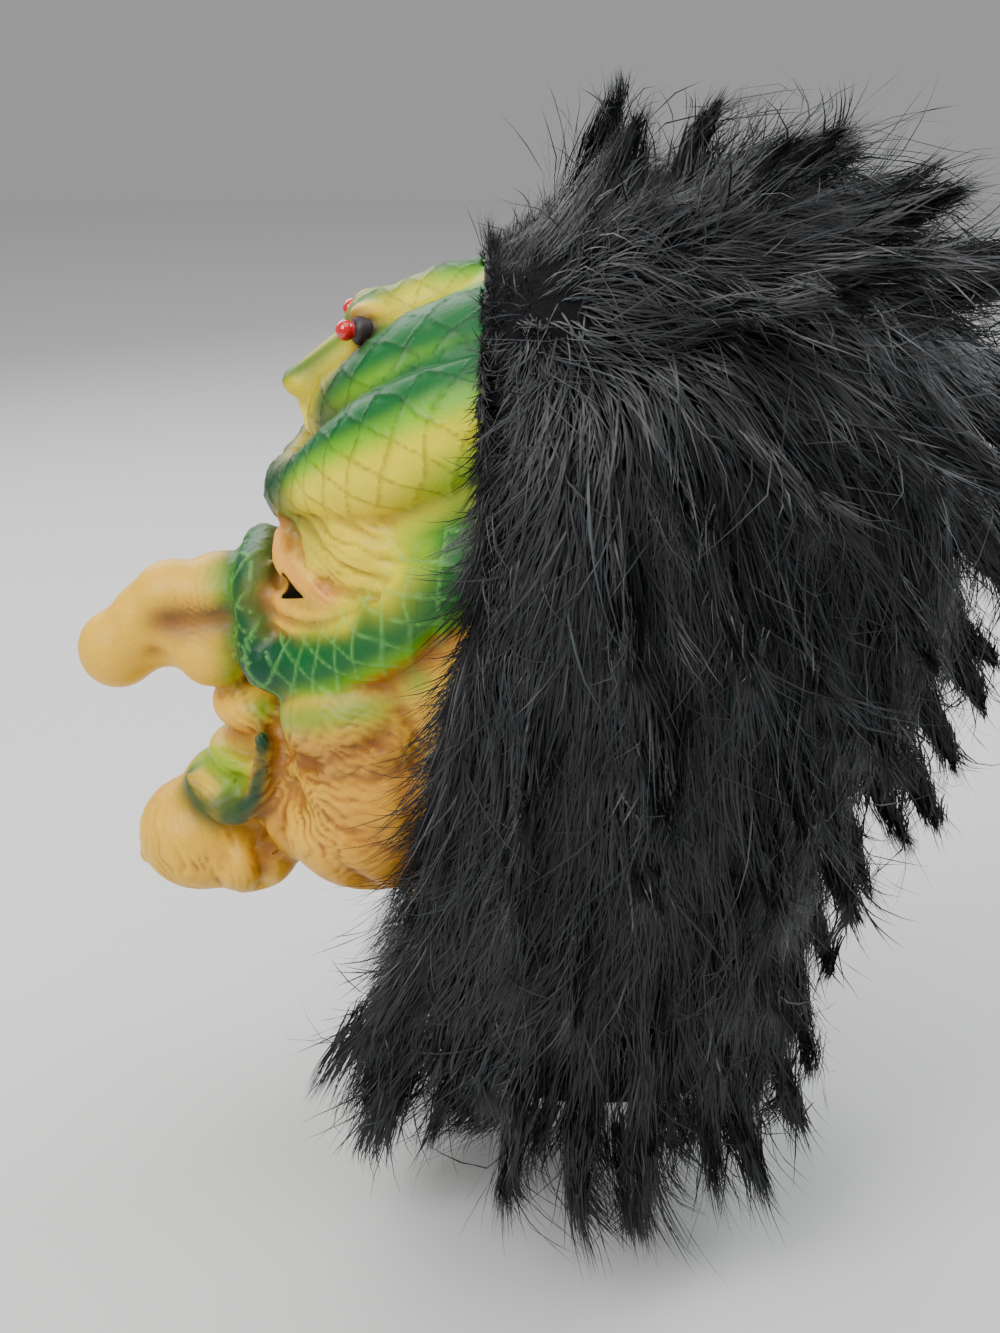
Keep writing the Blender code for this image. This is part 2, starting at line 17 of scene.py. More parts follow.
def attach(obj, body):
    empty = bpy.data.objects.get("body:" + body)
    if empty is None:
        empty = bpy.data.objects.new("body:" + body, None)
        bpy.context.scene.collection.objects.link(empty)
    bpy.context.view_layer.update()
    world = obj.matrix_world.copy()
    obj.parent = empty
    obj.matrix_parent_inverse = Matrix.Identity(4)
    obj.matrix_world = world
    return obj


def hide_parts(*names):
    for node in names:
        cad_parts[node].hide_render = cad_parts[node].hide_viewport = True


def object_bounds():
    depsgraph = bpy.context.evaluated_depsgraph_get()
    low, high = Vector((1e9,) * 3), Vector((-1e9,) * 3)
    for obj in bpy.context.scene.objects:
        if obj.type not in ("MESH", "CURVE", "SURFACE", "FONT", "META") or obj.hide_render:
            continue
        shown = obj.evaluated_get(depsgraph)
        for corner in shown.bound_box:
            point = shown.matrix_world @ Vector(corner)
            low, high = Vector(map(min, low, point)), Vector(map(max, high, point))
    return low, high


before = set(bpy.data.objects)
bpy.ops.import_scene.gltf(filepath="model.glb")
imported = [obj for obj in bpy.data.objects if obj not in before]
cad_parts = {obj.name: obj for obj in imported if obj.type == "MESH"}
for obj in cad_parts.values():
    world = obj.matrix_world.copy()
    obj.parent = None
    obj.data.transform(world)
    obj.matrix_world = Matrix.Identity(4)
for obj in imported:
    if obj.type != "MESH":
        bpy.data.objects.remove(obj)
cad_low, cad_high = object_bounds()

MM = 0.001
BODY = "root"

# Sizes, most of them shared with the solids
CROWN_SEAT = (0, 45, 186)
LATEX_WALL = 1.5
LATEX_FILLET = 1.6
HOOD_WALL = 2.4
TUCK_BACK = 8.0
NECK_BOTTOM = -128.0
FUR_SEED = 11
# The stage: its floor's height in metres and its half width in millimetres, and the camera in metres
FLOOR_Z = -0.445
FLOOR_HALF = 3000
CAMERA = dict(place=(0.8345, -0.045, 0.1511), tilt=68, turn=90, lens=54.04, sensor=36)
LIT_POINT = (0, 0, -0.12)
# Powers that round the ovals of the hood and the pile, across and through the head
OVAL_ACROSS = 0.86
OVAL_THROUGH = 0.9
# The least depth of the inner surface under the outer one
LEAST_WALL = 0.5

# Fineness
SKIN_VOXEL = 1.6
INSIDE_SHARE = 0.3
BAG_SIDES = 96
BULB_SIDES = 40
DOME = (70, 45, 20)


def table(columns, *values):
    """Rows with named columns."""
    row = namedtuple("Row", columns)
    return [row(*value) for value in values]


# The hollow of the hood, from its crown to its hem: one flat ring a row
HOOD_RINGS = table(
    "z front back half",
    (186, 24, 70, 26),
    (182, -4, 94, 48),
    (171, -24, 112, 69),
    (152, -44, 130, 84),
    (120, -62, 142, 92),
    (70, -76, 146, 93),
    (15, -76, 140, 90),
    (-40, -66, 128, 85),
    (-90, -48, 120, 80),
    (-128, -34, 117, 79),
    (-185, -30, 120, 80),
)

# Front edge of the hood, seen from the side
HOOD_EDGE = table(
    "y z",
    (-7, 240),
    (-6, 130),
    (-8, 60),
    (-15, 35),
    (-22, -10),
    (-27, -60),
    (-30, -112),
    (-34, -190),
)

# Lobes on the middle plane, or mirrored pairs where x isn't zero
HEAD_LOBES = table(
    "name x y z wide deep tall",
    ("forehead", 0, -8, 100, 62, 66, 66),
    ("under_cheek", 34, -54, -6, 42, 42, 34),
    ("jowl", 0, -42, -38, 78, 60, 50),
    ("jowl_bag", 38, -56, -57, 36, 40, 31),
    ("jaw", 0, -84, -50, 42, 38, 44),
    ("between_eyes", 0, -84, 30, 34, 21, 36),
    ("nose_root", 0, -122, 26, 24, 27, 28),
    ("nose_bridge", 0, -145, 26, 19, 21, 25),
    ("nose_bend", 0, -159, 19, 17, 16, 21),
    ("nose_tip", 0, -171, 9, 18, 18.5, 18.5),
    ("nose_wing", 12, -127, 10, 13, 18, 14),
    ("upper_lip", 0, -108, -15, 28, 22, 14),
    ("lower_lip", 0, -113, -39, 26, 20, 12),
    ("chin_shelf", 0, -124, -56, 28, 22, 15),
    ("chin", 0, -138, -82, 31, 30, 27),
    ("under_chin", 0, -116, -88, 33, 24, 21),
    ("snake_skull", 0, -47, 155, 18, 19, 16),
    ("eye_bed", 31, -69, 55, 25, 22, 19),
    ("lid", 30, -34, 72, 42, 46, 30),
    ("snake_brow", 14, -54, 162, 8, 9, 6),
    ("snake_nose", 0, -84, 131, 10, 9, 7),
    ("snake_jaw", 0, -77, 120, 10, 8.5, 8),
    ("nose_wart", 8, -136, 3, 5, 6, 4),
    ("chin_wart", 0, -165, -94, 5, 4.5, 5.5),
)

# The snake's body and the folds, as ropes from the hem forward: stations along the middle line
NECK_RINGS = table(
    "z front back half",
    (0, -40, 120, 76),
    (-60, -40, 114, 76),
    (-100, -34, 110, 75),
    (-150, -29, 110, 75),
)
SNAKE_NECK = table(
    "x y z radius",
    (0, 20, 162, 18),
    (0, -6, 166, 16),
    (0, -20, 165, 16),
    (0, -34, 160, 15),
    (0, -48, 155, 15),
)
SNAKE_SNOUT = table(
    "x y z radius",
    (0, -50, 148, 15),
    (0, -66, 141, 11),
    (0, -80, 133, 8.5),
    (0, -85, 131, 7.5),
)
TOP_COIL = table(
    "x y z radius",
    (36, 26, 138, 39),
    (34, -4, 139, 38),
    (31, -22, 137, 34),
    (29, -37, 133, 29),
    (23, -51, 127, 23),
    (12, -63, 121, 18),
    (0, -69, 116, 15),
)
BROW_COIL = table(
    "x y z radius",
    (60, 26, 136, 32),
    (60, -6, 132, 31),
    (54, -34, 119, 28),
    (43, -53, 107, 25),
    (27, -69, 95, 20),
    (12, -82, 86, 16.5),
    (0, -87, 84, 15.5),
)
CHEEK_COIL = table(
    "x y z radius",
    (66, 26, 86, 24),
    (68, -4, 76, 23),
    (68, -24, 62, 20.5),
    (65, -37, 48, 19),
    (57, -52, 36, 18),
    (48, -69, 24, 16),
    (40, -83, 18, 14),
    (31, -99, 16, 13.5),
    (26, -105, 34, 10.5),
    (20, -105, 50, 10),
    (0, -104, 53, 10),
)
LID_RIM = table(
    "x y z radius",
    (20, -93, 69, 4),
    (33, -92, 62, 4.5),
    (44, -84, 56, 4.5),
    (56, -69, 52, 4),
    (66, -54, 54, 3),
)
LID_FOLD = table(
    "x y z radius",
    (28, -82, 76, 4),
    (42, -76, 69, 4),
    (56, -64, 62, 4),
    (68, -46, 62, 3.5),
)
LOWER_LID = table(
    "x y z radius",
    (30, -96, 45, 3.5),
    (41, -88, 42, 4),
    (53, -74, 44, 4),
    (62, -60, 50, 3),
)
EYE_BAG = table(
    "x y z radius",
    (31, -96, 37, 4),
    (44, -85, 34, 4.5),
    (57, -68, 38, 4.5),
    (66, -52, 48, 3),
)
SNAKE_TAIL = table(
    "x y z radius",
    (15, -141, -48, 2.6),
    (21, -134, -56, 4),
    (28, -124, -60, 5),
    (33, -114, -56, 5.5),
    (36, -107, -46, 5.5),
    (36, -104, -32, 5),
    (34, -104, -20, 4),
)

# The line where the brow coil lies over the top coil, from the hem to the middle
COIL_GAP_ROUTE = (
    (72, 0, 166),
    (68, -19, 158),
    (62, -33, 149),
    (54, -47, 138),
    (40, -65, 124),
    (20, -78, 110),
    (0, -84, 102),
)

# Folds pressed into the skin: how far each reaches to the sides, and how deep it goes
CREASES = table(
    "name reach depth route",
    ("coil_gap", 4, 4, COIL_GAP_ROUTE),
    ("nostril", 8, 5, ((20, -150, 27), (23, -136, 29), (25, -120, 31))),
    ("nose_fold", 5, 3, ((15, -152, 12), (18, -148, 4), (16, -142, -4))),
    ("mouth", 4, 5, ((0, -130, -27), (15, -125, -28), (24, -114, -31))),
    ("chin_slit", 5, 5, ((26, -110, -70), (30, -106, -88), (22, -108, -104))),
    ("jowl_top", 5, 4, ((84, -26, 42), (82, -38, 20), (78, -48, -2), (66, -70, -14), (50, -88, -26))),
    ("jowl_back", 5, 4, ((80, -46, -4), (82, -38, -30), (80, -34, -52))),
    ("cheek", 6, 5, ((46, -92, -40), (58, -80, -52), (66, -66, -66), (64, -56, -84))),
)

# Narrow grooves between the folds of the lids
LID_GROOVES = table(
    "reach depth route",
    (1.9, 2.6, ((22, -90, 75), (36, -86, 69), (48, -79, 62), (60, -67, 58), (72, -50, 60))),
    (1.8, 2.1, ((28, -86, 81), (44, -77, 76), (58, -66, 69), (70, -48, 66), (76, -36, 70))),
    (1.7, 1.8, ((36, -80, 85), (54, -68, 79), (68, -50, 74), (77, -34, 78))),
    (1.6, 1.5, ((56, -64, 86), (70, -46, 82), (78, -28, 88))),
    (1.7, 2.3, ((27, -99, 41), (40, -92, 38), (52, -79, 40), (62, -64, 47), (72, -48, 58))),
    (1.7, 2.1, ((28, -100, 35), (42, -90, 31), (56, -74, 33), (66, -56, 42), (73, -42, 55))),
    (1.6, 1.7, ((32, -98, 29), (46, -86, 26), (60, -68, 31), (70, -50, 44))),
    (2.2, 1.6, ((30, -104, 44), (26, -106, 30), (32, -102, 20))),
)

# Where the casting is smooth between its lobes
SMOOTH_SPOTS = table(
    "name y z reach share",
    ("nose", -160, 22, 46, 0.95),
    ("nose_foot", -128, 30, 22, 0.6),
    ("chin", -142, -80, 42, 0.9),
    ("snake_head", -66, 146, 36, 0.25),
)

# Eye holes, each a rounded triangle with its corners given backward and up from its centre
EYE_HOLE = dict(x=39.5, y=-85, z=53, turn=46, round=5, deep=24, rim=1.6, rounds=6)
EYE_CORNERS = ((-3.4, 7.4), (11.0, -2.0), (-8.8, -7.5))
# The snake's bulbs
BULB_PLACE = (19.5, -58, 157)
BULB_AXIS = (0.32, -0.94, 0.06)


def new_object(name, mesh):
    """A linked object round a mesh."""
    item = bpy.data.objects.new(name, mesh)
    bpy.context.scene.collection.objects.link(item)
    return item


def mesh_from(name, points, faces):
    """A mesh of points in millimetres, with its faces turned outward."""
    mesh = bpy.data.meshes.new(name)
    mesh.from_pydata([Vector(point) * MM for point in points], [], faces)
    shape = bmesh.new()
    shape.from_mesh(mesh)
    bmesh.ops.recalc_face_normals(shape, faces=shape.faces)
    shape.to_mesh(mesh)
    shape.free()
    return mesh


def evaluated(item):
    """The object's mesh with its modifiers applied; the object itself goes away."""
    view = bpy.context.evaluated_depsgraph_get()
    mesh = bpy.data.meshes.new_from_object(item.evaluated_get(view))
    bpy.data.objects.remove(item, do_unlink=True)
    return mesh


def ellipsoid(row, side=1):
    """A closed ball stretched to a lobe's three radii."""
    shape = bmesh.new()
    bmesh.ops.create_uvsphere(shape, u_segments=56, v_segments=36, radius=1.0)
    radii = Vector((row.wide, row.deep, row.tall)) * MM
    centre = Vector((row.x * side, row.y, row.z)) * MM
    for vertex in shape.verts:
        vertex.co = centre + Vector(a * b for a, b in zip(vertex.co, radii))
    mesh = bpy.data.meshes.new(row.name)
    shape.to_mesh(mesh)
    shape.free()
    return mesh


def smooth_route(stations, steps=5):
    """Stations with others between them, on a smooth curve through all the columns."""
    rows = np.array(stations, dtype=float)
    ends = np.vstack([2 * rows[0] - rows[1], rows, 2 * rows[-1] - rows[-2]])
    route = []
    for index in range(len(rows) - 1):
        a, b, c, d = ends[index:index + 4]
        for step in range(steps):
            t = step / steps
            route.append(0.5 * (2 * b + (c - a) * t + (2 * a - 5 * b + 4 * c - d) * t * t
                                + (3 * b - a - 3 * c + d) * t ** 3))
    route.append(rows[-1])
    return np.array(route)


def unit(vectors):
    """Each vector at length one."""
    return vectors / np.maximum(np.linalg.norm(vectors, axis=-1, keepdims=True), 1e-9)


def circle(centre, radius, across, lift, sides):
    """Points round a centre, in the plane of two directions."""
    turns = (math.tau * step / sides for step in range(sides))
    return [centre + radius * (math.cos(turn) * across + math.sin(turn) * lift) for turn in turns]


def rope(name, stations, sides=20, steps=8):
    """A closed round rope through the stations, with domed ends."""
    route = smooth_route(stations, steps)
    along = unit(np.gradient(route[:, :3], axis=0))
    across = unit(np.cross(along, (0.31, 0.17, 0.93)))
    rings = list(zip(route[:, :3], route[:, 3], along, across, np.cross(across, along)))

    def domed(end, way, angles):
        place, radius, direction, beside, lift = end
        points = []
        for angle in map(math.radians, angles):
            centre = place + way * direction * radius * math.sin(angle)
            points += circle(centre, radius * math.cos(angle), beside, lift, sides)
        return points

    points = domed(rings[0], -1, DOME)
    for place, radius, _, beside, lift in rings:
        points += circle(place, radius, beside, lift, sides)
    points += domed(rings[-1], 1, DOME[::-1])
    return mesh_from(name, points, tube_faces(len(points) // sides, sides))


def tube_faces(levels, sides):
    """Faces of a closed tube of rings, capped at both ends."""
    faces = [tuple(reversed(range(sides)))]
    for level in range(levels - 1):
        for step in range(sides):
            near = level * sides + step
            beside = level * sides + (step + 1) % sides
            faces.append((near, beside, beside + sides, near + sides))
    faces.append(tuple(range((levels - 1) * sides, levels * sides)))
    return faces


def mirrored(stations):
    """The same stations on the wearer's right."""
    return [station._replace(x=-station.x) for station in stations]


def across_face(stations):
    """A route from the left hem over the middle plane to the right hem."""
    return stations + mirrored(stations)[-2::-1]


def fuse(name, meshes, voxel, rounds):
    """One closed skin round all the meshes, softened a little."""
    shape = bmesh.new()
    for mesh in meshes:
        shape.from_mesh(mesh)
        bpy.data.meshes.remove(mesh)
    joined = bpy.data.meshes.new(name)
    shape.to_mesh(joined)
    shape.free()
    item = new_object(name, joined)
    skin = item.modifiers.new("Skin", "REMESH")
    skin.mode = "VOXEL"
    skin.voxel_size = voxel * MM
    soft = item.modifiers.new("Soften", "SMOOTH")
    soft.factor = 0.5
    soft.iterations = rounds
    return evaluated(item)


def coordinates(mesh):
    """The mesh's points, in millimetres, as an array."""
    places = np.empty(len(mesh.vertices) * 3)
    mesh.vertices.foreach_get("co", places)
    return places.reshape(-1, 3) / MM


def normals_of(mesh):
    """The mesh's point normals as an array."""
    normals = np.empty(len(mesh.vertices) * 3)
    mesh.vertex_normals.foreach_get("vector", normals)
    return normals.reshape(-1, 3)


def put_coordinates(mesh, places):
    """Moves the mesh's points to new places, in millimetres."""
    mesh.vertices.foreach_set("co", (places * MM).ravel())
    mesh.update()


def edges_of(mesh):
    """The two points of each edge, as an array."""
    edges = np.empty(len(mesh.edges) * 2, dtype=np.int32)
    mesh.edges.foreach_get("vertices", edges)
    return edges.reshape(-1, 2)


def put_colours(mesh, name, colours):
    """Stores a colour at each of the mesh's points."""
    layer = mesh.color_attributes.new(name, "FLOAT_COLOR", "POINT")
    rgba = np.ones((len(colours), 4))
    rgba[:, :3] = colours
    layer.data.foreach_set("color", rgba.ravel())


def folded(places):
    """The places with the wearer's right side laid over the left."""
    return np.column_stack([np.abs(places[:, 0]), places[:, 1:]])


def ramp(value, start, span):
    """0 up to start and 1 a span further on, straight between; a negative span turns it round."""
    return np.clip((value - start) / span, 0, 1)


def eased(share):
    """A share from 0 to 1 that starts and ends gently."""
    return share * share * (3 - 2 * share)


def fade(value, full, none):
    """1 up to one value, 0 past another, smooth between."""
    return eased(np.clip((none - value) / (none - full), 0, 1))


def running_total(steps):
    """The length reached before each step and at the end."""
    return np.concatenate([[0], np.cumsum(steps)])


def nearest_on(places, route):
    """Each place's distance to a route of points, how far along it lies, and on which step."""
    line = np.asarray(route, dtype=float)[:, :3]
    steps = np.linalg.norm(np.diff(line, axis=0), axis=1)
    along = running_total(steps)
    best = np.full(len(places), np.inf)
    where = np.zeros(len(places))
    index_of = np.zeros(len(places), dtype=int)
    for index in range(len(line) - 1):
        start = line[index]
        span = line[index + 1] - start
        share = np.clip((places - start) @ span / (span @ span), 0, 1)
        gap = np.linalg.norm(places - start - share[:, None] * span, axis=1)
        closer = gap < best
        best[closer] = gap[closer]
        where[closer] = along[index] + share[closer] * steps[index]
        index_of[closer] = index
    return best, where, index_of


def close_to(places, route, reach, power=2):
    """1 on a route, fading to 0 with distance from it."""
    return np.exp(-(nearest_on(places, route)[0] / reach) ** power)


def close_to_point(places, point, reach, power=2):
    """1 at a point, fading to 0 with distance from it."""
    return np.exp(-(np.linalg.norm(places - np.array(point), axis=1) / reach) ** power)


def press(mesh, route, reach, depth):
    """Presses a groove of a given depth along a route, fading out to the sides."""
    amount = depth * close_to(coordinates(mesh), smooth_route(route, steps=12), reach)
    grown(mesh, -amount[:, None])


def grown(mesh, margin):
    """The mesh with its surface moved outward by a margin."""
    put_coordinates(mesh, coordinates(mesh) + normals_of(mesh) * margin)
    return mesh


def read_at(rows, column, z):
    """One column of a table, read between its rows at heights."""
    rows = sorted(rows, key=lambda row: row.z)
    return np.interp(z, [row.z for row in rows], [getattr(row, column) for row in rows])


def oval_ring(row, grow, lift=0.0):
    """One flat ring of a bag: a rounded oval, grown outward by a margin and lifted."""
    z, front, back, half = row
    front, back, half = front - grow, back + grow, half + grow
    turn = np.arange(BAG_SIDES) * math.tau / BAG_SIDES
    cosine = np.cos(turn)
    sine = np.sin(turn)
    x = half * np.sign(cosine) * np.abs(cosine) ** OVAL_ACROSS
    y = (front + back) / 2 + (back - front) / 2 * np.sign(sine) * np.abs(sine) ** OVAL_THROUGH
    return np.stack([x, y, np.full(BAG_SIDES, z + lift)], axis=1)


def bag(name, rings, grow=0.0):
    """A closed bag of flat rings, grown outward by a margin at its sides and its top."""
    points = [oval_ring(row, grow, grow * (index == 0)) for index, row in enumerate(rings)]
    return mesh_from(name, np.concatenate(points), tube_faces(len(rings), BAG_SIDES))


def face_solid():
    """The filled face: every lobe and rope."""
    shapes = []
    for row in HEAD_LOBES:
        shapes.append(ellipsoid(row))
        if row.x:
            shapes.append(ellipsoid(row, side=-1))
    shapes.append(bag("head", HOOD_RINGS, grow=-LATEX_FILLET))
    shapes.append(bag("neck", NECK_RINGS))
    shapes.append(rope("snake_neck", SNAKE_NECK))
    shapes.append(rope("snake_snout", SNAKE_SNOUT))
    for coil in (TOP_COIL, BROW_COIL, CHEEK_COIL):
        shapes.append(rope("coil", across_face(coil), sides=40))
    for fold in (LID_RIM, LID_FOLD, LOWER_LID, EYE_BAG):
        shapes.append(rope("fold", fold))
        shapes.append(rope("fold", mirrored(fold)))
    shapes.append(rope("tail", SNAKE_TAIL))
    return shapes


def face_skin():
    """The outer surface of the filled face, with its hollows rounded as a casting has them."""
    skin = fuse("skin", face_solid(), SKIN_VOXEL, 2)
    skin = fuse("skin", [grown(skin, LATEX_FILLET)], SKIN_VOXEL, 1)
    grown(skin, -LATEX_FILLET)
    relax(skin)
    iron_folds(skin, 0.2, 4)
    for row in (*CREASES, *LID_GROOVES):
        for side in (1, -1):
            press(skin, [(side * x, y, z) for x, y, z in row.route], row.reach, row.depth)
    iron_folds(skin, 0.1, 3)
    return skin


def iron_folds(mesh, sharpest, rounds):
    """Smooths the small spots where a tight hollow folded the skin over itself."""
    edges = edges_of(mesh)
    for _ in range(rounds):
        places = coordinates(mesh)
        normals = normals_of(mesh)
        agree = (normals[edges[:, 0]] * normals[edges[:, 1]]).sum(axis=1)
        creased = np.zeros((len(places), 1))
        creased[edges[agree < sharpest].ravel()] = 1
        share = np.clip(neighbour_mean(creased, edges, 3) * 6, 0, 1)
        softened = neighbour_mean(places, edges, 6)
        put_coordinates(mesh, places + (softened - places) * share)


def relax(mesh):
    """Rounds off the joins between the lobes of the nose, the chin and the snake's head."""
    places = coordinates(mesh)
    softened = neighbour_mean(places, edges_of(mesh), 12)
    share = np.zeros(len(places))
    for row in SMOOTH_SPOTS:
        gap = np.linalg.norm(places - np.array((0, row.y, row.z)), axis=1)
        share = np.maximum(share, row.share * fade(gap, row.reach * 0.7, row.reach))
    put_coordinates(mesh, places + (softened - places) * share[:, None])


def hem_at(z):
    """How far back the hood's front edge lies at a height."""
    return read_at(HOOD_EDGE, "y", z)


def past_hem(places):
    """How far each place lies behind the hood's front edge."""
    return places[:, 1] - hem_at(places[:, 2])


def drop_points(mesh, unwanted):
    """Deletes the marked points and the faces on them."""
    shape = bmesh.new()
    shape.from_mesh(mesh)
    shape.verts.ensure_lookup_table()
    gone = [shape.verts[index] for index in np.flatnonzero(unwanted)]
    bmesh.ops.delete(shape, geom=gone, context="VERTS")
    shape.to_mesh(mesh)
    shape.free()


def hollow_at(z, grow):
    """Front, back and half width of the hood's hollow at heights, grown by a margin."""
    front, back, half = (read_at(HOOD_RINGS, column, z) for column in ("front", "back", "half"))
    return front - grow, back + grow, half + grow


def outside_hollow(places, grow):
    """Which places lie outside the hood's hollow grown by a margin."""
    x, y, z = places.T
    front, back, half = hollow_at(z, grow)
    across = np.abs(x / half) ** (2 / OVAL_ACROSS)
    through = np.abs((y - (front + back) / 2) / ((back - front) / 2)) ** (2 / OVAL_THROUGH)
    return across + through > 1


def eye_frame(side):
    """Centre, outward axis and sideways direction of an eye hole."""
    turn = math.radians(EYE_HOLE["turn"])
    centre = np.array((EYE_HOLE["x"] * side, EYE_HOLE["y"], EYE_HOLE["z"]))
    axis = np.array((math.sin(turn) * side, -math.cos(turn), 0))
    across = np.array((math.cos(turn) * side, math.sin(turn), 0))
    return centre, axis, across


def open_eye(mesh, side):
    """Deletes the skin in an eye hole and draws its edge to a clean rounded outline."""
    centre, axis, across = eye_frame(side)
    corners = np.array(EYE_CORNERS)
    edges = np.roll(corners, -1, axis=0) - corners
    out = np.stack([-edges[:, 1], edges[:, 0]], axis=1)
    reach = (out * corners).sum(axis=1)

    def share_of(places):
        offset = places - centre
        flat = np.stack([offset @ across, offset[:, 2]], axis=1)
        shares = np.maximum(flat @ out.T / reach, 0.02)
        near = np.abs(offset @ axis) < EYE_HOLE["deep"]
        return (shares ** EYE_HOLE["round"]).sum(axis=1) ** (1 / EYE_HOLE["round"]), near

    share, near = share_of(coordinates(mesh))
    drop_points(mesh, near & (share < 1))
    shape = bmesh.new()
    shape.from_mesh(mesh)
    rim = []
    for vertex in shape.verts:
        if vertex.is_boundary:
            share, near = share_of(np.array(vertex.co)[None] / MM)
            if near[0] and share[0] < EYE_HOLE["rim"]:
                rim.append(vertex)
    for _ in range(EYE_HOLE["rounds"]):
        moves = []
        for vertex in rim:
            beside = [edge.other_vert(vertex).co for edge in vertex.link_edges if edge.is_boundary]
            moves.append(0.4 * vertex.co + 0.6 * sum(beside, Vector()) / len(beside))
        for vertex, move in zip(rim, moves):
            place = np.array(move) / MM
            share, _ = share_of(place[None])
            offset = place - centre
            depth = offset @ axis
            flat = offset - axis * depth
            vertex.co = Vector((centre + axis * depth + flat / share[0]) * MM)
    near_rim = {edge.other_vert(vertex) for vertex in rim for edge in vertex.link_edges} - set(rim)
    bmesh.ops.smooth_vert(shape, verts=list(near_rim), factor=0.6,
                          use_axis_x=True, use_axis_y=True, use_axis_z=True)
    shape.to_mesh(mesh)
    shape.free()


def close_wall(item):
    """Gives the open skin its wall, with a coarser inner surface."""
    item.vertex_groups.new(name="inside")
    wall = item.modifiers.new("Wall", "SOLIDIFY")
    wall.thickness = LATEX_WALL * MM
    wall.thickness_clamp = 0.9
    wall.offset = -1
    wall.use_rim = True
    wall.material_offset = 1
    wall.shell_vertex_group = "inside"
    thin = item.modifiers.new("Thin", "DECIMATE")
    thin.ratio = 0.5 + INSIDE_SHARE / 2
    thin.vertex_group = "inside"
    thin.vertex_group_factor = 1.0


def tuck_inside(mesh):
    """Puts the inner surface back under the outer one wherever a tight fold would push it through."""
    places = coordinates(mesh)
    outer = [tuple(face.vertices) for face in mesh.polygons if face.material_index == 0]
    tree = BVHTree.FromPolygons([Vector(place) for place in places], outer)
    inner = set(range(len(places))) - {corner for face in outer for corner in face}
    tucked = set()
    for index in inner:
        near, normal, _, _ = tree.find_nearest(Vector(places[index]))
        if (Vector(places[index]) - near).dot(normal) > -LEAST_WALL:
            places[index] = near - normal * LEAST_WALL
            tucked.add(index)
    put_coordinates(mesh, places)
    for face in mesh.polygons:
        if tucked.intersection(face.vertices):
            face.material_index = 0


COILS = (TOP_COIL, BROW_COIL, CHEEK_COIL, SNAKE_NECK)
CHEEK = COILS.index(CHEEK_COIL)
CoilSpots = namedtuple("CoilSpots", "outside count turn radius from_middle number")
COIL_UP = (0, -0.25, 0.97)
SCALE_PITCH = dict(least=8.0, share=0.22)
SCALE_RIDGE = dict(high=0.7, half=0.62)
SCALE_LINES = dict(along=0.85, around=0.62, wobble=0.22)
SCALE_PAINT = dict(cheek=0.5, others=0.46)

# Families of fine parallel wrinkles: where they lie, how far they reach, and across what they repeat
WRINKLES = table(
    "name x y z reach across pitch depth",
    ("chin", 14, -150, -86, 24, (0, 0.92, 0.39), 4.4, 1.2),
    ("chin_side", 28, -128, -92, 16, (0, 0.95, 0.2), 5.0, 1.3),
    ("nose_hatch", 14, -128, 42, 11, (0, 1, 0.1), 3.0, 0.65),
    ("nose_patch", 19, -136, 30, 9, (0, 0.3, 0.95), 3.2, 0.75),
    ("nose_brow", 14, -143, 38, 9, (0, 0.9, -0.3), 3.0, 0.25),
    ("upper_lip", 18, -110, -12, 10, (0.7, 0.7, 0), 3.2, 0.7),
    ("pad", 20, -126, -44, 13, (0, 0.35, 0.94), 3.6, 0.6),
    ("lid", 62, -60, 74, 19, (0, 0.25, 0.97), 4.0, 1.05),
    ("lid_low", 54, -74, 62, 12, (0, 0.55, 0.83), 3.0, 0.8),
    ("under_coil", 70, -60, -4, 17, (0, 0.3, 0.95), 4.2, 0.9),
    ("dark_folds", 58, -78, -18, 14, (0, -0.5, 0.86), 3.6, 0.9),
    ("jowl_rise", 75, -26, -6, 22, (0, 0.75, 0.66), 5.2, 0.7),
    ("jowl_fall", 75, -26, -6, 22, (0, 0.8, -0.6), 6.4, 0.6),
    ("jowl_low", 66, -56, -58, 20, (0, 0.5, -0.86), 4.6, 0.6),
    ("neck", 60, -48, -92, 22, (0, 0.8, 0.6), 6.0, 0.5),
)
# Folds that spread like a fan from a point on the side of the face
FANS = table(
    "name x y z reach turns depth",
    ("jowl", 44, -90, -32, 38, 28, 1.9),
    ("eye", 42, -86, 52, 22, 30, 0.5),
    ("cheek_coil_end", 30, -104, 16, 12, 18, 0.5),
)

# Airbrushed paint, stronger than it looks in the picture, where bright colours come out paler. Sage, plum,
# brown and umber serve only as painted shade in creases, grooves and under the brow coil; socket is the dark
# paint round the bulbs and also painted shade in the nostril groove.
SRGB = dict(
    latex=(238, 184, 48),
    ochre=(208, 134, 36),
    brown=(128, 68, 34),
    umber=(158, 92, 40),
    lemon=(244, 226, 0),
    pale=(236, 196, 40),
    lime=(120, 186, 0),
    green=(0, 94, 36),
    teal=(0, 62, 40),
    mint=(72, 156, 40),
    peach=(230, 150, 70),
    sage=(150, 156, 50),
    plum=(104, 50, 50),
    orange=(216, 118, 50),
    socket=(34, 24, 22),
    scale=(120, 190, 90),
)
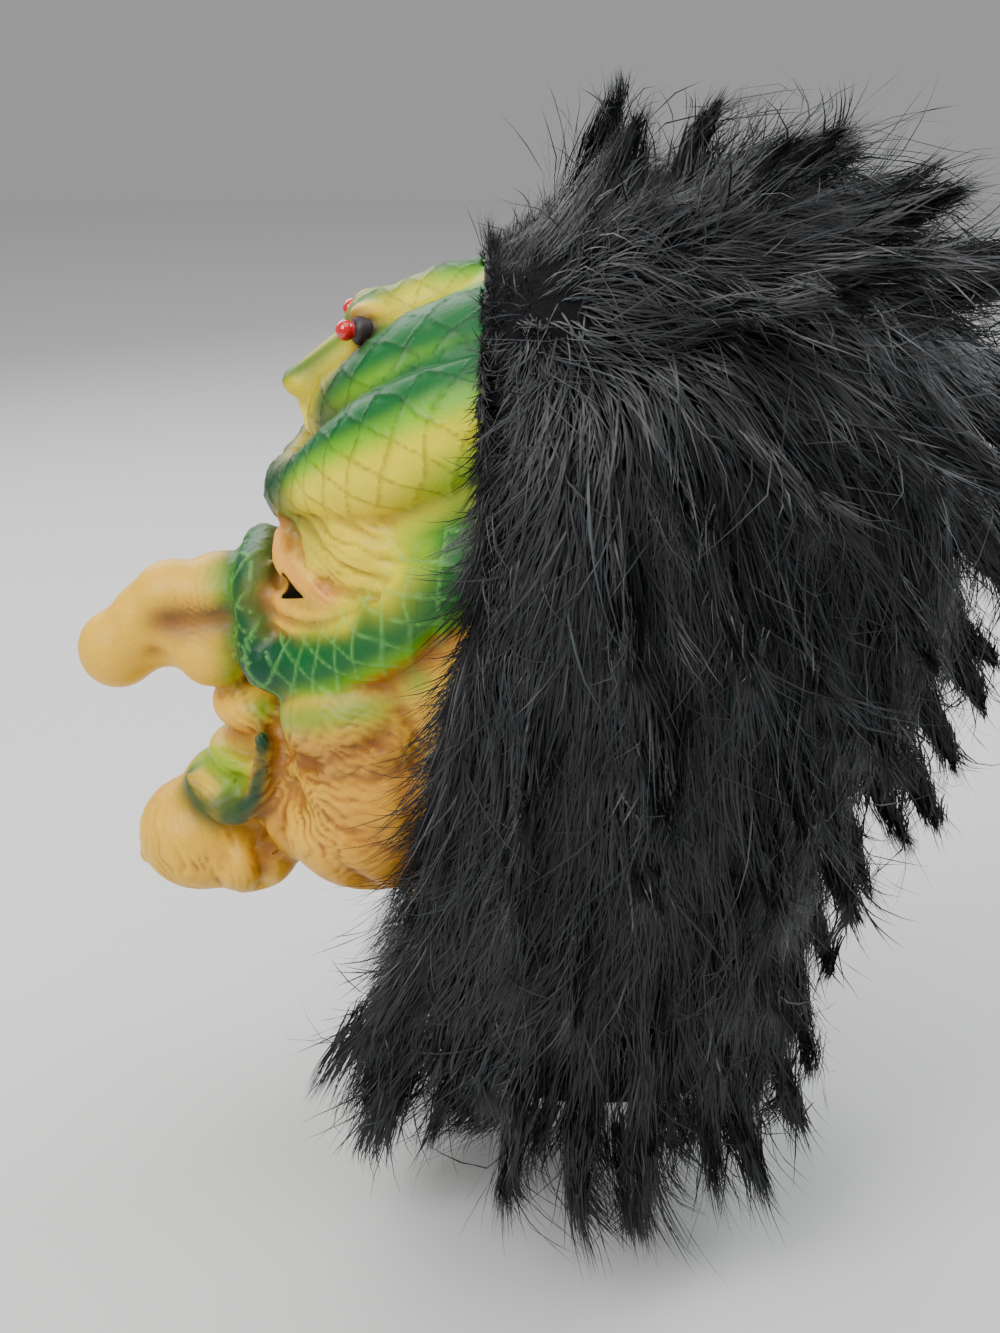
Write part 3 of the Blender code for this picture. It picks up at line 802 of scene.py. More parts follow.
# Sprays along routes, each laid over the last, on both sides or as drawn; the first ones lie under the
# coils. The rows of sage, plum, brown and umber, and the socket row by the nostril, are painted shade.
UNDER_COILS = 2
SPRAYS = table(
    "colour sides reach strength route",
    ("ochre", 2, 34, 0.75, ((70, -50, -40), (60, -50, -85))),
    ("ochre", 2, 14, 0.5, ((30, -104, -80), (36, -96, -60))),
    ("lemon", 2, 20, 1.0, ((0, -44, 166), (0, -66, 146), (0, -88, 130), (0, -78, 116))),
    ("lemon", 2, 20, 0.9, ((50, -72, 74), (68, -46, 74))),
    ("lemon", 2, 8, 0.7, ((50, -84, 42), (64, -62, 48))),
    ("lime", 2, 15, 0.7, ((88, 0, 124), (86, -16, 110), (80, -36, 86))),
    ("green", 2, 9, 0.9, ((90, 0, 116), (90, -12, 104), (86, -22, 90))),
    # Painted shade: sage on the upper lid under the overhanging brow coil
    ("sage", 2, 10, 0.7, ((26, -90, 76), (44, -80, 76))),
    ("peach", 2, 6, 0.95, ((20, -96, 72), (33, -92, 64), (44, -84, 58), (56, -71, 54))),
    ("peach", 2, 4.5, 0.6, ((30, -98, 45), (41, -90, 43), (53, -76, 45))),
    ("green", 2, 9, 0.8, ((4, -116, 54), (18, -112, 46), (26, -110, 24))),
    ("mint", 2, 8, 0.6, ((14, -124, 52), (22, -120, 38), (26, -116, 18), (20, -118, 2))),
    # Painted shade: plum and a thin dark line along the nostril groove
    ("plum", 2, 8.5, 0.7, ((15, -146, 27), (18, -134, 28), (21, -123, 30))),
    ("socket", 2, 2.6, 0.6, ((15, -145, 29), (18, -134, 31), (21, -122, 34))),
    ("orange", 2, 6, 0.8, ((6, -128, -24), (25, -114, -24))),
    ("lime", 2, 13, 0.85, ((10, -134, -44), (24, -120, -42))),
    ("ochre", 2, 8, 0.8, ((40, -108, -58), (42, -97, -52))),
    ("green", 1, 11, 0.75, ((14, -140, -50), (24, -130, -58), (34, -116, -54))),
    ("teal", 1, 6.6, 1.0, ((14, -142, -48), (21, -135, -57), (28, -125, -61), (34, -115, -57),
                           (38, -107, -46), (38, -104, -32), (36, -104, -20))),
    ("pale", 2, 4.5, 0.8, ((15, -136, -47), (22, -130, -50))),
    # Painted shade: a dark brown line in the chin slit
    ("brown", 2, 4.5, 0.8, ((24, -106, -76), (25, -106, -88))),
    ("mint", 2, 8, 0.75, ((26, -104, -9), (50, -92, -4), (68, -76, 4), (74, -50, 11), (78, -36, 24))),
    # Painted shade: umber along the folds of the jowl creases
    ("umber", 2, 11, 0.6, ((45, -88, -26), (62, -78, -14), (72, -58, -8))),
    ("umber", 2, 7, 0.5, ((73, -46, 0), (74, -40, -24), (76, -33, -42))),
    ("socket", 2, 8.5, 0.98, ((21, -57, 157), (24, -59, 155))),
)
SNAKE_GREEN = ((0, -24, 184), (3, -44, 176), (6, -56, 168), (8, -70, 151), (7, -82, 141), (2, -92, 135))

# Paint round each coil: the turn from its upper line, in degrees, at which each colour stands
COIL_PAINT = (
    (("lime", -60), ("lime", -24), ("green", -6), ("green", 44), ("lime", 62), ("lemon", 84),
     ("lemon", 180)),
    (("green", -60), ("green", 44), ("lime", 62), ("lemon", 82), ("lemon", 108), ("pale", 128),
     ("latex", 156)),
    (("latex", -80), ("lemon", -50), ("lemon", -24), ("lime", -4), ("green", 18), ("green", 100),
     ("lime", 122), ("ochre", 142), ("ochre", 180)),
    (("lemon", -180), ("lemon", -70), ("lime", -36), ("green", -10), ("green", 10), ("lime", 36),
     ("lemon", 70), ("lemon", 180)),
)
# How much of each coil turns to teal near the middle of the face, and over what length
COIL_FRONT = table(
    "full none turn strength",
    (16, 52, 80, 0.95),
    (12, 42, 100, 0.95),
    (60, 92, 181, 0.9),
    (1, 2, 9, 0),
)


def linear(colour):
    """A named paint as linear light."""
    share = np.array(SRGB[colour]) / 255
    return np.where(share <= 0.04045, share / 12.92, ((share + 0.055) / 1.055) ** 2.4)


def noise_field(places, scale, seed):
    """Smooth noise at each place, between about -1 and 1."""
    shift = Vector((seed * 13.7, seed * 5.1, seed * 9.3))
    return np.array([noise.noise(Vector(place) / scale + shift) for place in places])


def coil_map(places):
    """Where each place lies on the coil that it is nearest to."""
    best = np.full((len(CoilSpots._fields), len(places)), np.inf)
    for number, coil in enumerate(COILS):
        route = smooth_route(across_face(coil) if coil[0].x else coil, steps=10)
        line, radii = route[:, :3], route[:, 3]
        gap, along, index = nearest_on(places, route)
        steps = np.linalg.norm(np.diff(line, axis=0), axis=1)
        length = running_total(steps)
        scales = running_total(steps / pitch_of_scales((radii[:-1] + radii[1:]) / 2))
        radius = np.interp(along, length, radii)
        tangent = unit(np.gradient(line, axis=0))[index]
        up = unit(np.array(COIL_UP) - (tangent @ np.array(COIL_UP))[:, None] * tangent)
        sideways = np.cross(tangent, up)
        middle = np.stack([np.interp(along, length, line[:, axis]) for axis in range(3)], axis=1)
        offset = places - middle
        angle = np.arctan2(-(offset * sideways).sum(axis=1), (offset * up).sum(axis=1))
        count = np.interp(along, length, scales)
        from_middle = np.abs(along - length[-1] / 2)
        here = np.stack([gap - radius, count, angle, radius, from_middle, np.full(len(places), number)])
        best = np.where(here[0] < best[0], here, best)
    return CoilSpots(*best)


def pitch_of_scales(radius):
    """How far apart the scale lines lie on a coil."""
    return SCALE_PITCH["least"] + SCALE_PITCH["share"] * radius


def ridge_lines(value, pitch, half):
    """1 on the lines where value is whole, fading over half a line's width."""
    gap = np.abs(value - np.round(value)) * pitch
    return np.exp(-(gap / half) ** 2)


def scale_ridges(places, coils):
    """How strongly a raised scale line shows at each place on the coils."""
    pitch = pitch_of_scales(coils.radius)
    around = coils.turn * coils.radius / pitch
    wobble = SCALE_LINES["wobble"] * noise_field(places, 16, 3)
    rise, fall = (ridge_lines(SCALE_LINES["along"] * coils.count + slope * around + wobble, pitch,
                              SCALE_RIDGE["half"])
                  for slope in (SCALE_LINES["around"], -SCALE_LINES["around"]))
    shown = fade(np.abs(np.degrees(coils.turn) - 55), 75, 105) * fade(np.abs(coils.outside), 1.6, 4.0)
    return np.maximum(rise, fall) * shown


def wrinkle_depth(places):
    """How deep the fine wrinkles and fans go at each place."""
    near_side = folded(places)
    wobble = noise_field(places, 11, 5)
    broken = 0.6 + 0.8 * noise_field(places, 8, 6)
    depth = np.zeros(len(places))
    for row in WRINKLES:
        reach = close_to_point(near_side, row[1:4], row.reach)
        across = np.array(row.across) / np.linalg.norm(row.across)
        lines = ridge_lines(near_side @ across / row.pitch + 1.1 * wobble, row.pitch, 0.24 * row.pitch)
        depth += 1.35 * row.depth * reach * lines * np.clip(broken, 0.15, 1.2)
    for row in FANS:
        offset = near_side - np.array(row[1:4])
        gap = np.linalg.norm(offset, axis=1)
        angle = np.arctan2(offset[:, 2], offset[:, 1])
        reach = close_to_point(near_side, row[1:4], row.reach) * np.clip(gap / 6, 0, 1)
        pitch = math.tau * np.maximum(gap, 6) / row.turns
        half = np.clip(0.2 * pitch, 0.6, 1.6)
        lines = ridge_lines(angle * row.turns / math.tau + 0.9 * wobble, pitch, half)
        depth += row.depth * reach * lines * np.clip(broken, 0.2, 1.2)
    return depth


def neighbour_mean(values, edges, rounds):
    """Values averaged with their neighbours a number of times."""
    size = len(values)
    count = np.maximum(np.bincount(edges.ravel(), minlength=size).astype(float), 1)[:, None]
    for _ in range(rounds):
        total = np.zeros_like(values)
        for axis in range(values.shape[1]):
            for here, there in (edges.T, edges.T[::-1]):
                total[:, axis] += np.bincount(here, weights=values[there, axis], minlength=size)
        values = total / count
    return values


def hollowness(mesh, rounds):
    """How far each point lies under the smoothed surface, in millimetres; ridges come out negative."""
    places = coordinates(mesh)
    softened = neighbour_mean(places, edges_of(mesh), rounds)
    return ((softened - places) * normals_of(mesh)).sum(axis=1)


def colours_of_coils(coils):
    """The paint of the coils at each place, and how far it holds there."""
    paint = np.zeros((len(coils.turn), 3))
    degrees = np.degrees(coils.turn)
    for number, stops in enumerate(COIL_PAINT):
        mine = coils.number == number
        at = [stop[1] for stop in stops]
        shades = np.array([linear(stop[0]) for stop in stops])
        band = np.stack([np.interp(degrees[mine], at, shades[:, axis]) for axis in range(3)], axis=1)
        front = COIL_FRONT[number]
        share = front.strength * fade(coils.from_middle[mine], front.full, front.none)
        if front.turn <= 180:
            share = share * fade(np.abs(degrees[mine] - 50), front.turn, front.turn + 30)
        paint[mine] = band + share[:, None] * (linear("teal") - band)
    return paint, fade(coils.outside, 2.0, 6.0)


def paint_face(mesh, coils, scales, depth):
    """Colours every point of the skin as the airbrush did, with painted shade in the creases and a painted
    highlight on the ridges.
    """
    places = coordinates(mesh)
    near_side = folded(places)
    mottle = noise_field(places, 14, 8)
    fine = noise_field(places, 4, 9)
    paint = np.tile(linear("latex"), (len(places), 1))

    def lay(colour, share):
        nonlocal paint
        paint = paint + np.clip(share, 0, 1)[:, None] * (colour - paint)

    def spray(row, power):
        near = close_to(near_side if row.sides == 2 else places, row.route, row.reach, power)
        lay(linear(row.colour), row.strength * near * (1 + 0.25 * mottle))

    for row in SPRAYS[:UNDER_COILS]:
        spray(row, 2)
    lay(*colours_of_coils(coils))
    for row in SPRAYS[UNDER_COILS:]:
        spray(row, 3)
    lay(linear("green"), 0.95 * close_to(near_side, SNAKE_GREEN, 8))
    lay(linear("socket"), 0.97 * fade(np.linalg.norm(near_side - np.array(BULB_PLACE), axis=1), 7.5, 11))
    paint = neighbour_mean(paint, edges_of(mesh), 3)
    # Painted shade from the shape: the creases and fine wrinkles are darkened, with umber on the yellow skin
    # and plainly on the greens, most on the jowl
    sunk = hollowness(mesh, 4)
    coarse = hollowness(mesh, 18)
    greenish = fade(paint[:, 0] / np.maximum(paint[:, 1], 1e-4), 0.7, 1.25)
    jowl = close_to_point(near_side, (56, -62, -46), 52, 4)
    crease_shade = np.clip(1.5 * sunk + 0.14 * coarse - 0.05, 0, 1) * (0.45 + 0.55 * jowl)
    crease_shade = np.clip((crease_shade + (0.2 + 0.4 * jowl) * depth) * (1 + 0.3 * fine), 0, 0.8)
    lay(linear("umber") * (0.75 + 0.15 * mottle)[:, None], crease_shade * (1 - greenish))
    paint = paint * (1 - 0.45 * np.clip(crease_shade * greenish, 0, 1))[:, None]
    # Painted highlight: the ridges of the yellow skin are lightened
    lay(1.15 * linear("latex"), 0.6 * np.clip(-1.8 * sunk - 0.05, 0, 0.4) * (1 - greenish))
    lines = scales * fade(coils.outside, 1.5, 3.0)
    lay(linear("scale"), SCALE_PAINT["cheek"] * lines * (coils.number == CHEEK))
    paint = paint * (1 - SCALE_PAINT["others"] * lines * (coils.number != CHEEK))[:, None]
    put_colours(mesh, "paint", np.clip(paint * (1 + 0.08 * mottle + 0.05 * fine)[:, None], 0, 1))


def make_face(materials):
    """The painted latex face, a hollow wall open at the back, the neck and the eyes."""
    skin = face_skin()
    drop_points(skin, past_hem(coordinates(skin)) >= TUCK_BACK + 4)
    places = coordinates(skin)
    coils = coil_map(places)
    scales = scale_ridges(places, coils)
    depth = wrinkle_depth(places) * fade(-coils.outside, -3.0, -1.0)
    grown(skin, (SCALE_RIDGE["high"] * scales - depth)[:, None])
    iron_folds(skin, -0.1, 2)
    paint_face(skin, coils, scales, depth)
    places = coordinates(skin)
    back = past_hem(places)
    through_hood = (back > 0.7) & outside_hollow(places, -0.4)
    drop_points(skin, (back > TUCK_BACK) | through_hood | (places[:, 2] < NECK_BOTTOM))
    keep_largest(skin)
    for side in (1, -1):
        open_eye(skin, side)
    places = coordinates(skin)
    faces = [tuple(face.vertices) for face in skin.polygons]
    face_tree = BVHTree.FromPolygons([Vector(place) for place in places], faces)
    put_coordinates(skin, places - np.array(CROWN_SEAT))
    item = new_object("latex_face", skin)
    for material in materials:
        item.data.materials.append(material)
    close_wall(item)
    wall = evaluated(item)
    tuck_inside(wall)
    return new_object("latex_face", wall), face_tree


def keep_largest(mesh):
    """Deletes all but the largest connected piece of a mesh."""
    edges = edges_of(mesh)
    label = np.arange(len(mesh.vertices))
    while True:
        low = np.minimum(label[edges[:, 0]], label[edges[:, 1]])
        fresh = label.copy()
        np.minimum.at(fresh, edges[:, 0], low)
        np.minimum.at(fresh, edges[:, 1], low)
        fresh = fresh[fresh]
        if (fresh == label).all():
            break
        label = fresh
    names, counts = np.unique(label, return_counts=True)
    drop_points(mesh, label != names[np.argmax(counts)])


# The long pile over the hood, flat rings as in the solids
PILE_RINGS = table(
    "z front back half",
    (214, 45, 95, 34),
    (208, 26, 122, 62),
    (192, 14, 152, 88),
    (165, -10, 180, 106),
    (125, -40, 196, 116),
    (75, -60, 200, 119),
    (15, -70, 192, 117),
    (-45, -66, 160, 111),
    (-100, -58, 142, 106),
    (-145, -50, 139, 102),
    (-176, -44, 134, 96),
)

# Which way the hair lies: a place on the wearer's left or the middle, and the way there
HAIR_FLOW = table(
    "x y z dx dy dz",
    (0, -2, 205, 0, -0.05, 1.0),
    (40, 0, 190, 0.25, -0.1, 1.0),
    (75, 0, 150, 0.5, -0.35, 0.1),
    (90, -2, 110, 0.35, -0.55, -0.85),
    (94, -8, 60, 0.3, -0.4, -1.0),
    (0, 40, 215, 0, 0.15, 1.0),
    (50, 40, 205, 0.35, 0.1, 1.0),
    (90, 42, 175, 0.9, 0.1, 0.2),
    (0, 80, 210, 0, 0.55, 0.95),
    (50, 90, 200, 0.3, 0.5, 0.8),
    (95, 90, 165, 0.5, 0.5, -0.2),
    (0, 125, 200, 0, 0.9, 0.3),
    (50, 135, 185, 0.25, 0.95, 0.1),
    (0, 165, 165, 0, 1.0, -0.1),
    (80, 140, 140, 0.35, 0.7, -0.55),
    (0, 190, 110, 0, 0.75, -0.65),
    (90, 130, 70, 0.25, 0.3, -0.95),
    (0, 195, 50, 0, 0.35, -0.95),
    (110, 50, 120, 0.3, 0.05, -1.0),
    (115, 60, 60, 0.2, 0.15, -1.0),
    (112, 30, 10, 0.25, -0.15, -1.0),
    (105, 80, -30, 0.15, 0.15, -1.0),
    (95, -5, -30, 0.25, -0.4, -1.0),
    (0, 180, -10, 0, 0.08, -1.0),
    (90, -20, -70, 0.2, -0.55, -1.0),
    (80, 20, -110, 0.2, -0.35, -1.0),
    (85, 80, -120, 0.2, 0.05, -1.0),
    (0, 150, -90, 0, 0.05, -1.0),
    (0, 140, -150, 0, 0.05, -1.0),
    (60, -45, -140, 0.1, -0.5, -1.0),
    (0, -40, -150, 0, -0.4, -1.0),
)

STRANDS = 76000
STRAND_PIECES = 4
FRINGE_STRANDS = 8000
STRAND_STEPS = 5
GUIDE_SHARE = 0.045
UNDERCOAT_SINK = 11.0
UNDERCOAT_BOTTOM = -177.0
STAND_PROUD = 9.0
FLOW_REACH = 34.0
FRINGE_LIFT = 1.2
FRINGE_SPAN = (-112, 183)
TAPER = (0.55, 1.0, 0.95, 0.75, 0.45)
BLACK = (0.0125, 0.0122, 0.0135)
BLUE_BLACK = (0.020, 0.028, 0.032)

# How the fringe lies at heights along the hood's front edge
FRINGE = table(
    "z length forward fall outward",
    (-112, 50, 0.62, 0.8, 0.25),
    (-60, 50, 0.6, 0.85, 0.25),
    (0, 46, 0.5, 0.9, 0.2),
    (60, 42, 0.45, 0.95, 0.2),
    (110, 32, 0.35, 0.9, 0.3),
    (150, 12, 0.12, 0.2, 0.8),
    (190, 8, 0.08, -0.9, 0.6),
)


def hair_way(places):
    """The way the hair lies at each place, from the flow table, mirrored on the wearer's right."""
    near_side = folded(places)
    total = np.zeros_like(places)
    for row in HAIR_FLOW:
        way = np.array(row[3:])
        total += close_to_point(near_side, row[:3], FLOW_REACH)[:, None] * way / np.linalg.norm(way)
        total += 1e-4 * way
    total[:, 0] *= np.where(places[:, 0] < 0, -1.0, 1.0)
    return unit(total)


def hem_places(count, dice):
    """Random places along the hood's front edge, on both sides and over the top."""
    z = dice.uniform(*FRINGE_SPAN, count)
    side = np.where(dice.random(count) < 0.5, -1.0, 1.0)
    y = hem_at(z) + dice.uniform(0.3, 7.0, count)
    front, back, half = hollow_at(z, HOOD_WALL)
    sine = np.abs((y - (front + back) / 2) / ((back - front) / 2)) ** (1 / OVAL_THROUGH)
    x = half * np.sqrt(np.clip(1 - sine ** 2, 0, 1)) ** OVAL_ACROSS
    return np.stack([x * side, y, z], axis=1), side


def make_fringe(face_tree):
    """Hair along the hood's front edge that lies over the face, shortest at the top."""
    dice = np.random.default_rng(FUR_SEED + 5)
    roots, side = hem_places(FRINGE_STRANDS, dice)
    length, forward, fall, outward = (read_at(FRINGE, column, roots[:, 2])
                                      for column in ("length", "forward", "fall", "outward"))
    lengths = length * (0.25 + dice.random(len(roots)) ** 2)
    way = unit(np.stack([outward * side, -forward, -fall], axis=1) + dice.normal(0, 0.16, roots.shape))
    place = roots
    paths = [roots]
    facings = []
    curl = dice.normal(0, 0.13, roots.shape)
    for _ in range(STRAND_STEPS):
        way = unit(way + curl + np.array((0, 0, -0.05)))
        place = place + way * (lengths / STRAND_STEPS)[:, None]
        facing = np.empty_like(place)
        for index, spot in enumerate(place):
            near, normal, _, gap = face_tree.find_nearest(Vector(spot))
            facing[index] = normal
            if gap < 30 and (Vector(spot) - near).dot(normal) < FRINGE_LIFT:
                place[index] = near + normal * FRINGE_LIFT
        paths.append(place.copy())
        facings.append(facing)
    facings.insert(0, facings[0])
    return np.stack(paths, axis=1), np.stack(facings, axis=1)


def pile_tree(node):
    """The outside of the pile's solid, for the hair to follow, in face-frame millimetres."""
    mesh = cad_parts[node].data
    places = coordinates(mesh) + np.array(CROWN_SEAT)
    mesh.calc_loop_triangles()
    corners = np.empty(len(mesh.loop_triangles) * 3, dtype=np.int32)
    mesh.loop_triangles.foreach_get("vertices", corners)
    corners = corners.reshape(-1, 3)
    corners = corners[outside_hollow(places[corners].mean(axis=1), HOOD_WALL + 2.2)]
    a, b, c = (places[corners[:, axis]] for axis in range(3))
    facing = np.cross(b - a, c - a)
    tree = BVHTree.FromPolygons([Vector(place) for place in places], corners.tolist())
    return tree, places, corners, np.linalg.norm(facing, axis=1) / 2, unit(facing)


def hold_to(tree, places, heights):
    """Puts each place at its own height above the nearest point of the pile's surface."""
    held = np.empty_like(places)
    facing = np.empty_like(places)
    for index, place in enumerate(places):
        spot, normal, _, _ = tree.find_nearest(Vector(place))
        held[index] = spot
        facing[index] = normal
    return held + facing * heights[:, None], facing


def combed_paths(tree, roots, lengths, heights, hold, sway, dice):
    """Strand paths that follow the pile's surface the way the hair lies, lifting off at the tips."""
    paths = [roots]
    facings = []
    place = roots
    bend = dice.normal(0, 1, (len(roots), 3)) * sway[:, None]
    for step in range(STRAND_STEPS):
        share = (step + 1) / STRAND_STEPS
        way = hair_way(place)
        loose = unit(way + bend * (0.4 + 0.9 * share))
        ahead = place + loose * (lengths / STRAND_STEPS)[:, None]
        held, facing = hold_to(tree, ahead, heights * math.sin(math.pi * min(share, 0.8)))
        drift = np.linalg.norm(held - ahead, axis=1)
        grip = np.clip(0.85 - 0.5 * share, 0.2, 0.85) * np.where(drift > 26, 0.3, 1.0) * hold
        place = ahead + (held - ahead) * grip[:, None]
        paths.append(place)
        facings.append(facing)
    facings.insert(0, facings[0])
    return np.stack(paths, axis=1), np.stack(facings, axis=1)


def kept_within(paths, low, high, dice):
    """The same strands, those that would leave a box made shorter until they stay in it."""
    roots = paths[:, :1]
    reach = paths - roots
    room = np.where(reach > 0, high - roots, low - roots)
    share = np.where(np.abs(reach) > 1e-6, room / np.where(np.abs(reach) > 1e-6, reach, 1), 1)
    share = np.clip(share.min(axis=(1, 2)), 0, 1)
    share = np.where(share < 1, share * dice.uniform(0.75, 1, len(paths)), 1)
    return roots + reach * share[:, None, None]


def make_hair(tree, places, corners, areas, facing):
    """Tapered ribbons of hair all over the pile, drawn together in tufts."""
    dice = np.random.default_rng(FUR_SEED)
    chosen = dice.choice(len(corners), size=STRANDS, p=areas / areas.sum())
    first = dice.random(STRANDS)
    second = dice.random(STRANDS)
    over = first + second > 1
    first[over], second[over] = 1 - first[over], 1 - second[over]
    a, b, c = (places[corners[chosen, axis]] for axis in range(3))
    roots = a + (b - a) * first[:, None] + (c - a) * second[:, None]
    y, z = roots[:, 1], roots[:, 2]
    short = np.maximum(ramp(past_hem(roots), 8, 22), ramp(z, 70, -50))
    low = ramp(z, 0, -120)
    low_front = low * ramp(y, 30, -50)
    lengths = (11 + (47 - 14 * low - 14 * low_front) * short) * dice.uniform(0.5, 1.3, STRANDS)
    lengths = lengths * (1 - 0.35 * ramp(y, 110, 50) * ramp(z, 90, -60))
    stray = dice.random(STRANDS) < 0.13
    lengths = np.where(stray, lengths * 1.25, lengths)
    lengths = lengths + ramp(z, -138, -24) * dice.uniform(6, 26, STRANDS)
    depth = dice.uniform(-10, 0, STRANDS) * (0.25 + 0.75 * short)
    roots = roots + facing[chosen] * (depth - 2)[:, None]
    tips_high = dice.uniform(-4.5, 3.5, STRANDS) * (0.4 + 0.6 * short) + depth * 0.5
    ahead = ramp(past_hem(roots), 7, -5)
    lengths = lengths + ahead * dice.uniform(2, 16, STRANDS)
    hold = (1 - 0.9 * ahead) * (1 - 0.35 * low) * np.where(stray, 0.5, 1.0)
    paths, facings = combed_paths(tree, roots, lengths, tips_high, hold, np.where(stray, 0.42, 0.2), dice)
    guides = dice.choice(STRANDS, size=int(STRANDS * GUIDE_SHARE), replace=False)
    guide_tree = KDTree(len(guides))
    for index, guide in enumerate(guides):
        guide_tree.insert(Vector(roots[guide]), index)
    guide_tree.balance()
    mine = guides[[guide_tree.find(Vector(root))[1] for root in roots]]
    share = (np.arange(STRAND_STEPS + 1) / STRAND_STEPS) ** 1.2 * 0.72
    pull = share[None, :, None] * (0.4 + 0.6 * dice.random((STRANDS, 1, 1)))
    pull = pull * np.where(stray, 0.25, 1.0)[:, None, None]
    paths = paths + (paths[mine] - paths) * pull
    return paths, facings, short


def ribbons(name, paths, facings, widths):
    """One mesh of tapered ribbons; the last step of each is a point."""
    count, levels, _ = paths.shape
    along = np.gradient(paths, axis=1)
    across = unit(np.cross(along, facings))
    half = 0.5 * widths[:, None, None] * np.array(TAPER)[None, :, None]
    left = paths[:, :-1] - across[:, :-1] * half
    right = paths[:, :-1] + across[:, :-1] * half
    points = np.concatenate([np.stack([left, right], axis=2).reshape(count, -1, 3), paths[:, -1:]], axis=1)
    stride = 2 * (levels - 1) + 1
    base = np.arange(count)[:, None] * stride
    quads = [np.stack([base + 2 * level + corner for corner in (0, 1, 3, 2)], axis=2)
             for level in range(levels - 2)]
    quads = np.concatenate(quads, axis=1).reshape(-1, 4)
    tip = 2 * (levels - 2)
    triangles = np.stack([base + tip, base + tip + 1, base + tip + 2], axis=2).reshape(-1, 3)
    mesh = bpy.data.meshes.new(name)
    mesh.vertices.add(count * stride)
    mesh.vertices.foreach_set("co", ((points.reshape(-1, 3) - np.array(CROWN_SEAT)) * MM).ravel())
    corners = np.concatenate([quads.ravel(), triangles.ravel()]).astype(np.int32)
    mesh.loops.add(len(corners))
    mesh.loops.foreach_set("vertex_index", corners)
    starts = np.concatenate([np.arange(len(quads)) * 4, len(quads) * 4 + np.arange(len(triangles)) * 3])
    mesh.polygons.add(len(starts))
    mesh.polygons.foreach_set("loop_start", starts.astype(np.int32))
    mesh.update(calc_edges=True)
    mesh.validate()
    return mesh, stride


def add_hair(name, paths, facings, widths, shades, material):
    """A piece of the hair, with one shade of black a strand."""
    mesh, stride = ribbons(name, paths, facings, widths)
    put_colours(mesh, "shade", np.repeat(shades, stride, axis=0))
    item = new_object(name, mesh)
    settle(item, material, "fur_pile")
    return item


def dress_fur(face_tree):
    """The undercoat and the strands, in place of the pile's plain solid."""
    tree, places, corners, areas, facing = pile_tree("fur_pile")
    paths, facings, short = make_hair(tree, places, corners, areas, facing)
    dice = np.random.default_rng(FUR_SEED + 1)
    widths = (0.36 + 0.34 * short) * dice.uniform(0.6, 1.4, len(paths))
    tone = dice.uniform(0.5, 1.5, len(paths)) ** 1.6
    shades = np.array(BLACK) * tone[:, None]
    blue = dice.random(len(paths)) < 0.16
    shades[blue] = BLUE_BLACK
    material = hair_material()
    low = np.array(cad_low) / MM - STAND_PROUD + np.array(CROWN_SEAT)
    high = np.array(cad_high) / MM + STAND_PROUD + np.array(CROWN_SEAT)
    paths = kept_within(paths, low, high, dice)
    part = len(paths) // STRAND_PIECES
    for number in range(STRAND_PIECES):
        share = slice(number * part, (number + 1) * part)
        parts = (values[share] for values in (paths, facings, widths, shades))
        add_hair("hair_%d" % (number + 1), *parts, material).data.shade_smooth()
    paths, facings = make_fringe(face_tree)
    widths = dice.uniform(0.3, 0.65, len(paths))
    shades = np.array(BLACK) * dice.uniform(0.55, 1.6, len(paths))[:, None]
    add_hair("hair_fringe", paths, facings, widths, shades, material)
    # The undercoat's near black is painted shade between the strands
    settle(make_undercoat(), plain_material("fur_undercoat"), "fur_pile")


def make_undercoat():
    """The dense short hair under the long, near black as painted shade deep in the fur: it swells from the
    hood's edges to near the pile's outside.
    """
    grow = HOOD_WALL + 0.6
    points = []
    for hood, pile in zip(smooth_route(HOOD_RINGS, steps=6), smooth_route(PILE_RINGS, steps=6)):
        inner = oval_ring(hood, grow, grow * (hood[0] > 180))
        outer = oval_ring(pile, -UNDERCOAT_SINK)
        behind = past_hem(inner)
        above = ramp(inner[:, 2], UNDERCOAT_BOTTOM, 10)
        swell = eased(ramp(behind, 10, 26) * above)
        short = ramp(behind, -2, 1.5) * above
        out = (inner - np.array((0, 40, inner[0, 2]))) / 90
        points.append(inner + 5.0 * short[:, None] * out + (outer - inner) * swell[:, None])
    levels = len(points)
    points = np.concatenate(points)
    mesh = mesh_from("undercoat", points, tube_faces(levels, BAG_SIDES))
    drop_points(mesh, (past_hem(points) < -0.9) | (points[:, 2] < UNDERCOAT_BOTTOM))
    put_coordinates(mesh, coordinates(mesh) - np.array(CROWN_SEAT))
    mesh.shade_smooth()
    return new_object("undercoat", mesh)


# The bulb's profile along its axis, from its back to its tip, and where the dark flange ends
FLANGE_END = 3.0
BULB_PROFILE = table(
    "along radius",
    (-4.0, 6.0),
    (-1.0, 6.4),
    (0.6, 6.2),
    (1.8, 5.5),
    (2.6, 4.6),
    (2.9, 3.7),
    (3.3, 3.6),
    (4.3, 4.15),
    (5.5, 4.45),
    (6.8, 4.4),
    (8.0, 3.85),
    (9.0, 2.8),
    (9.6, 1.7),
    (9.85, 0.7),
)


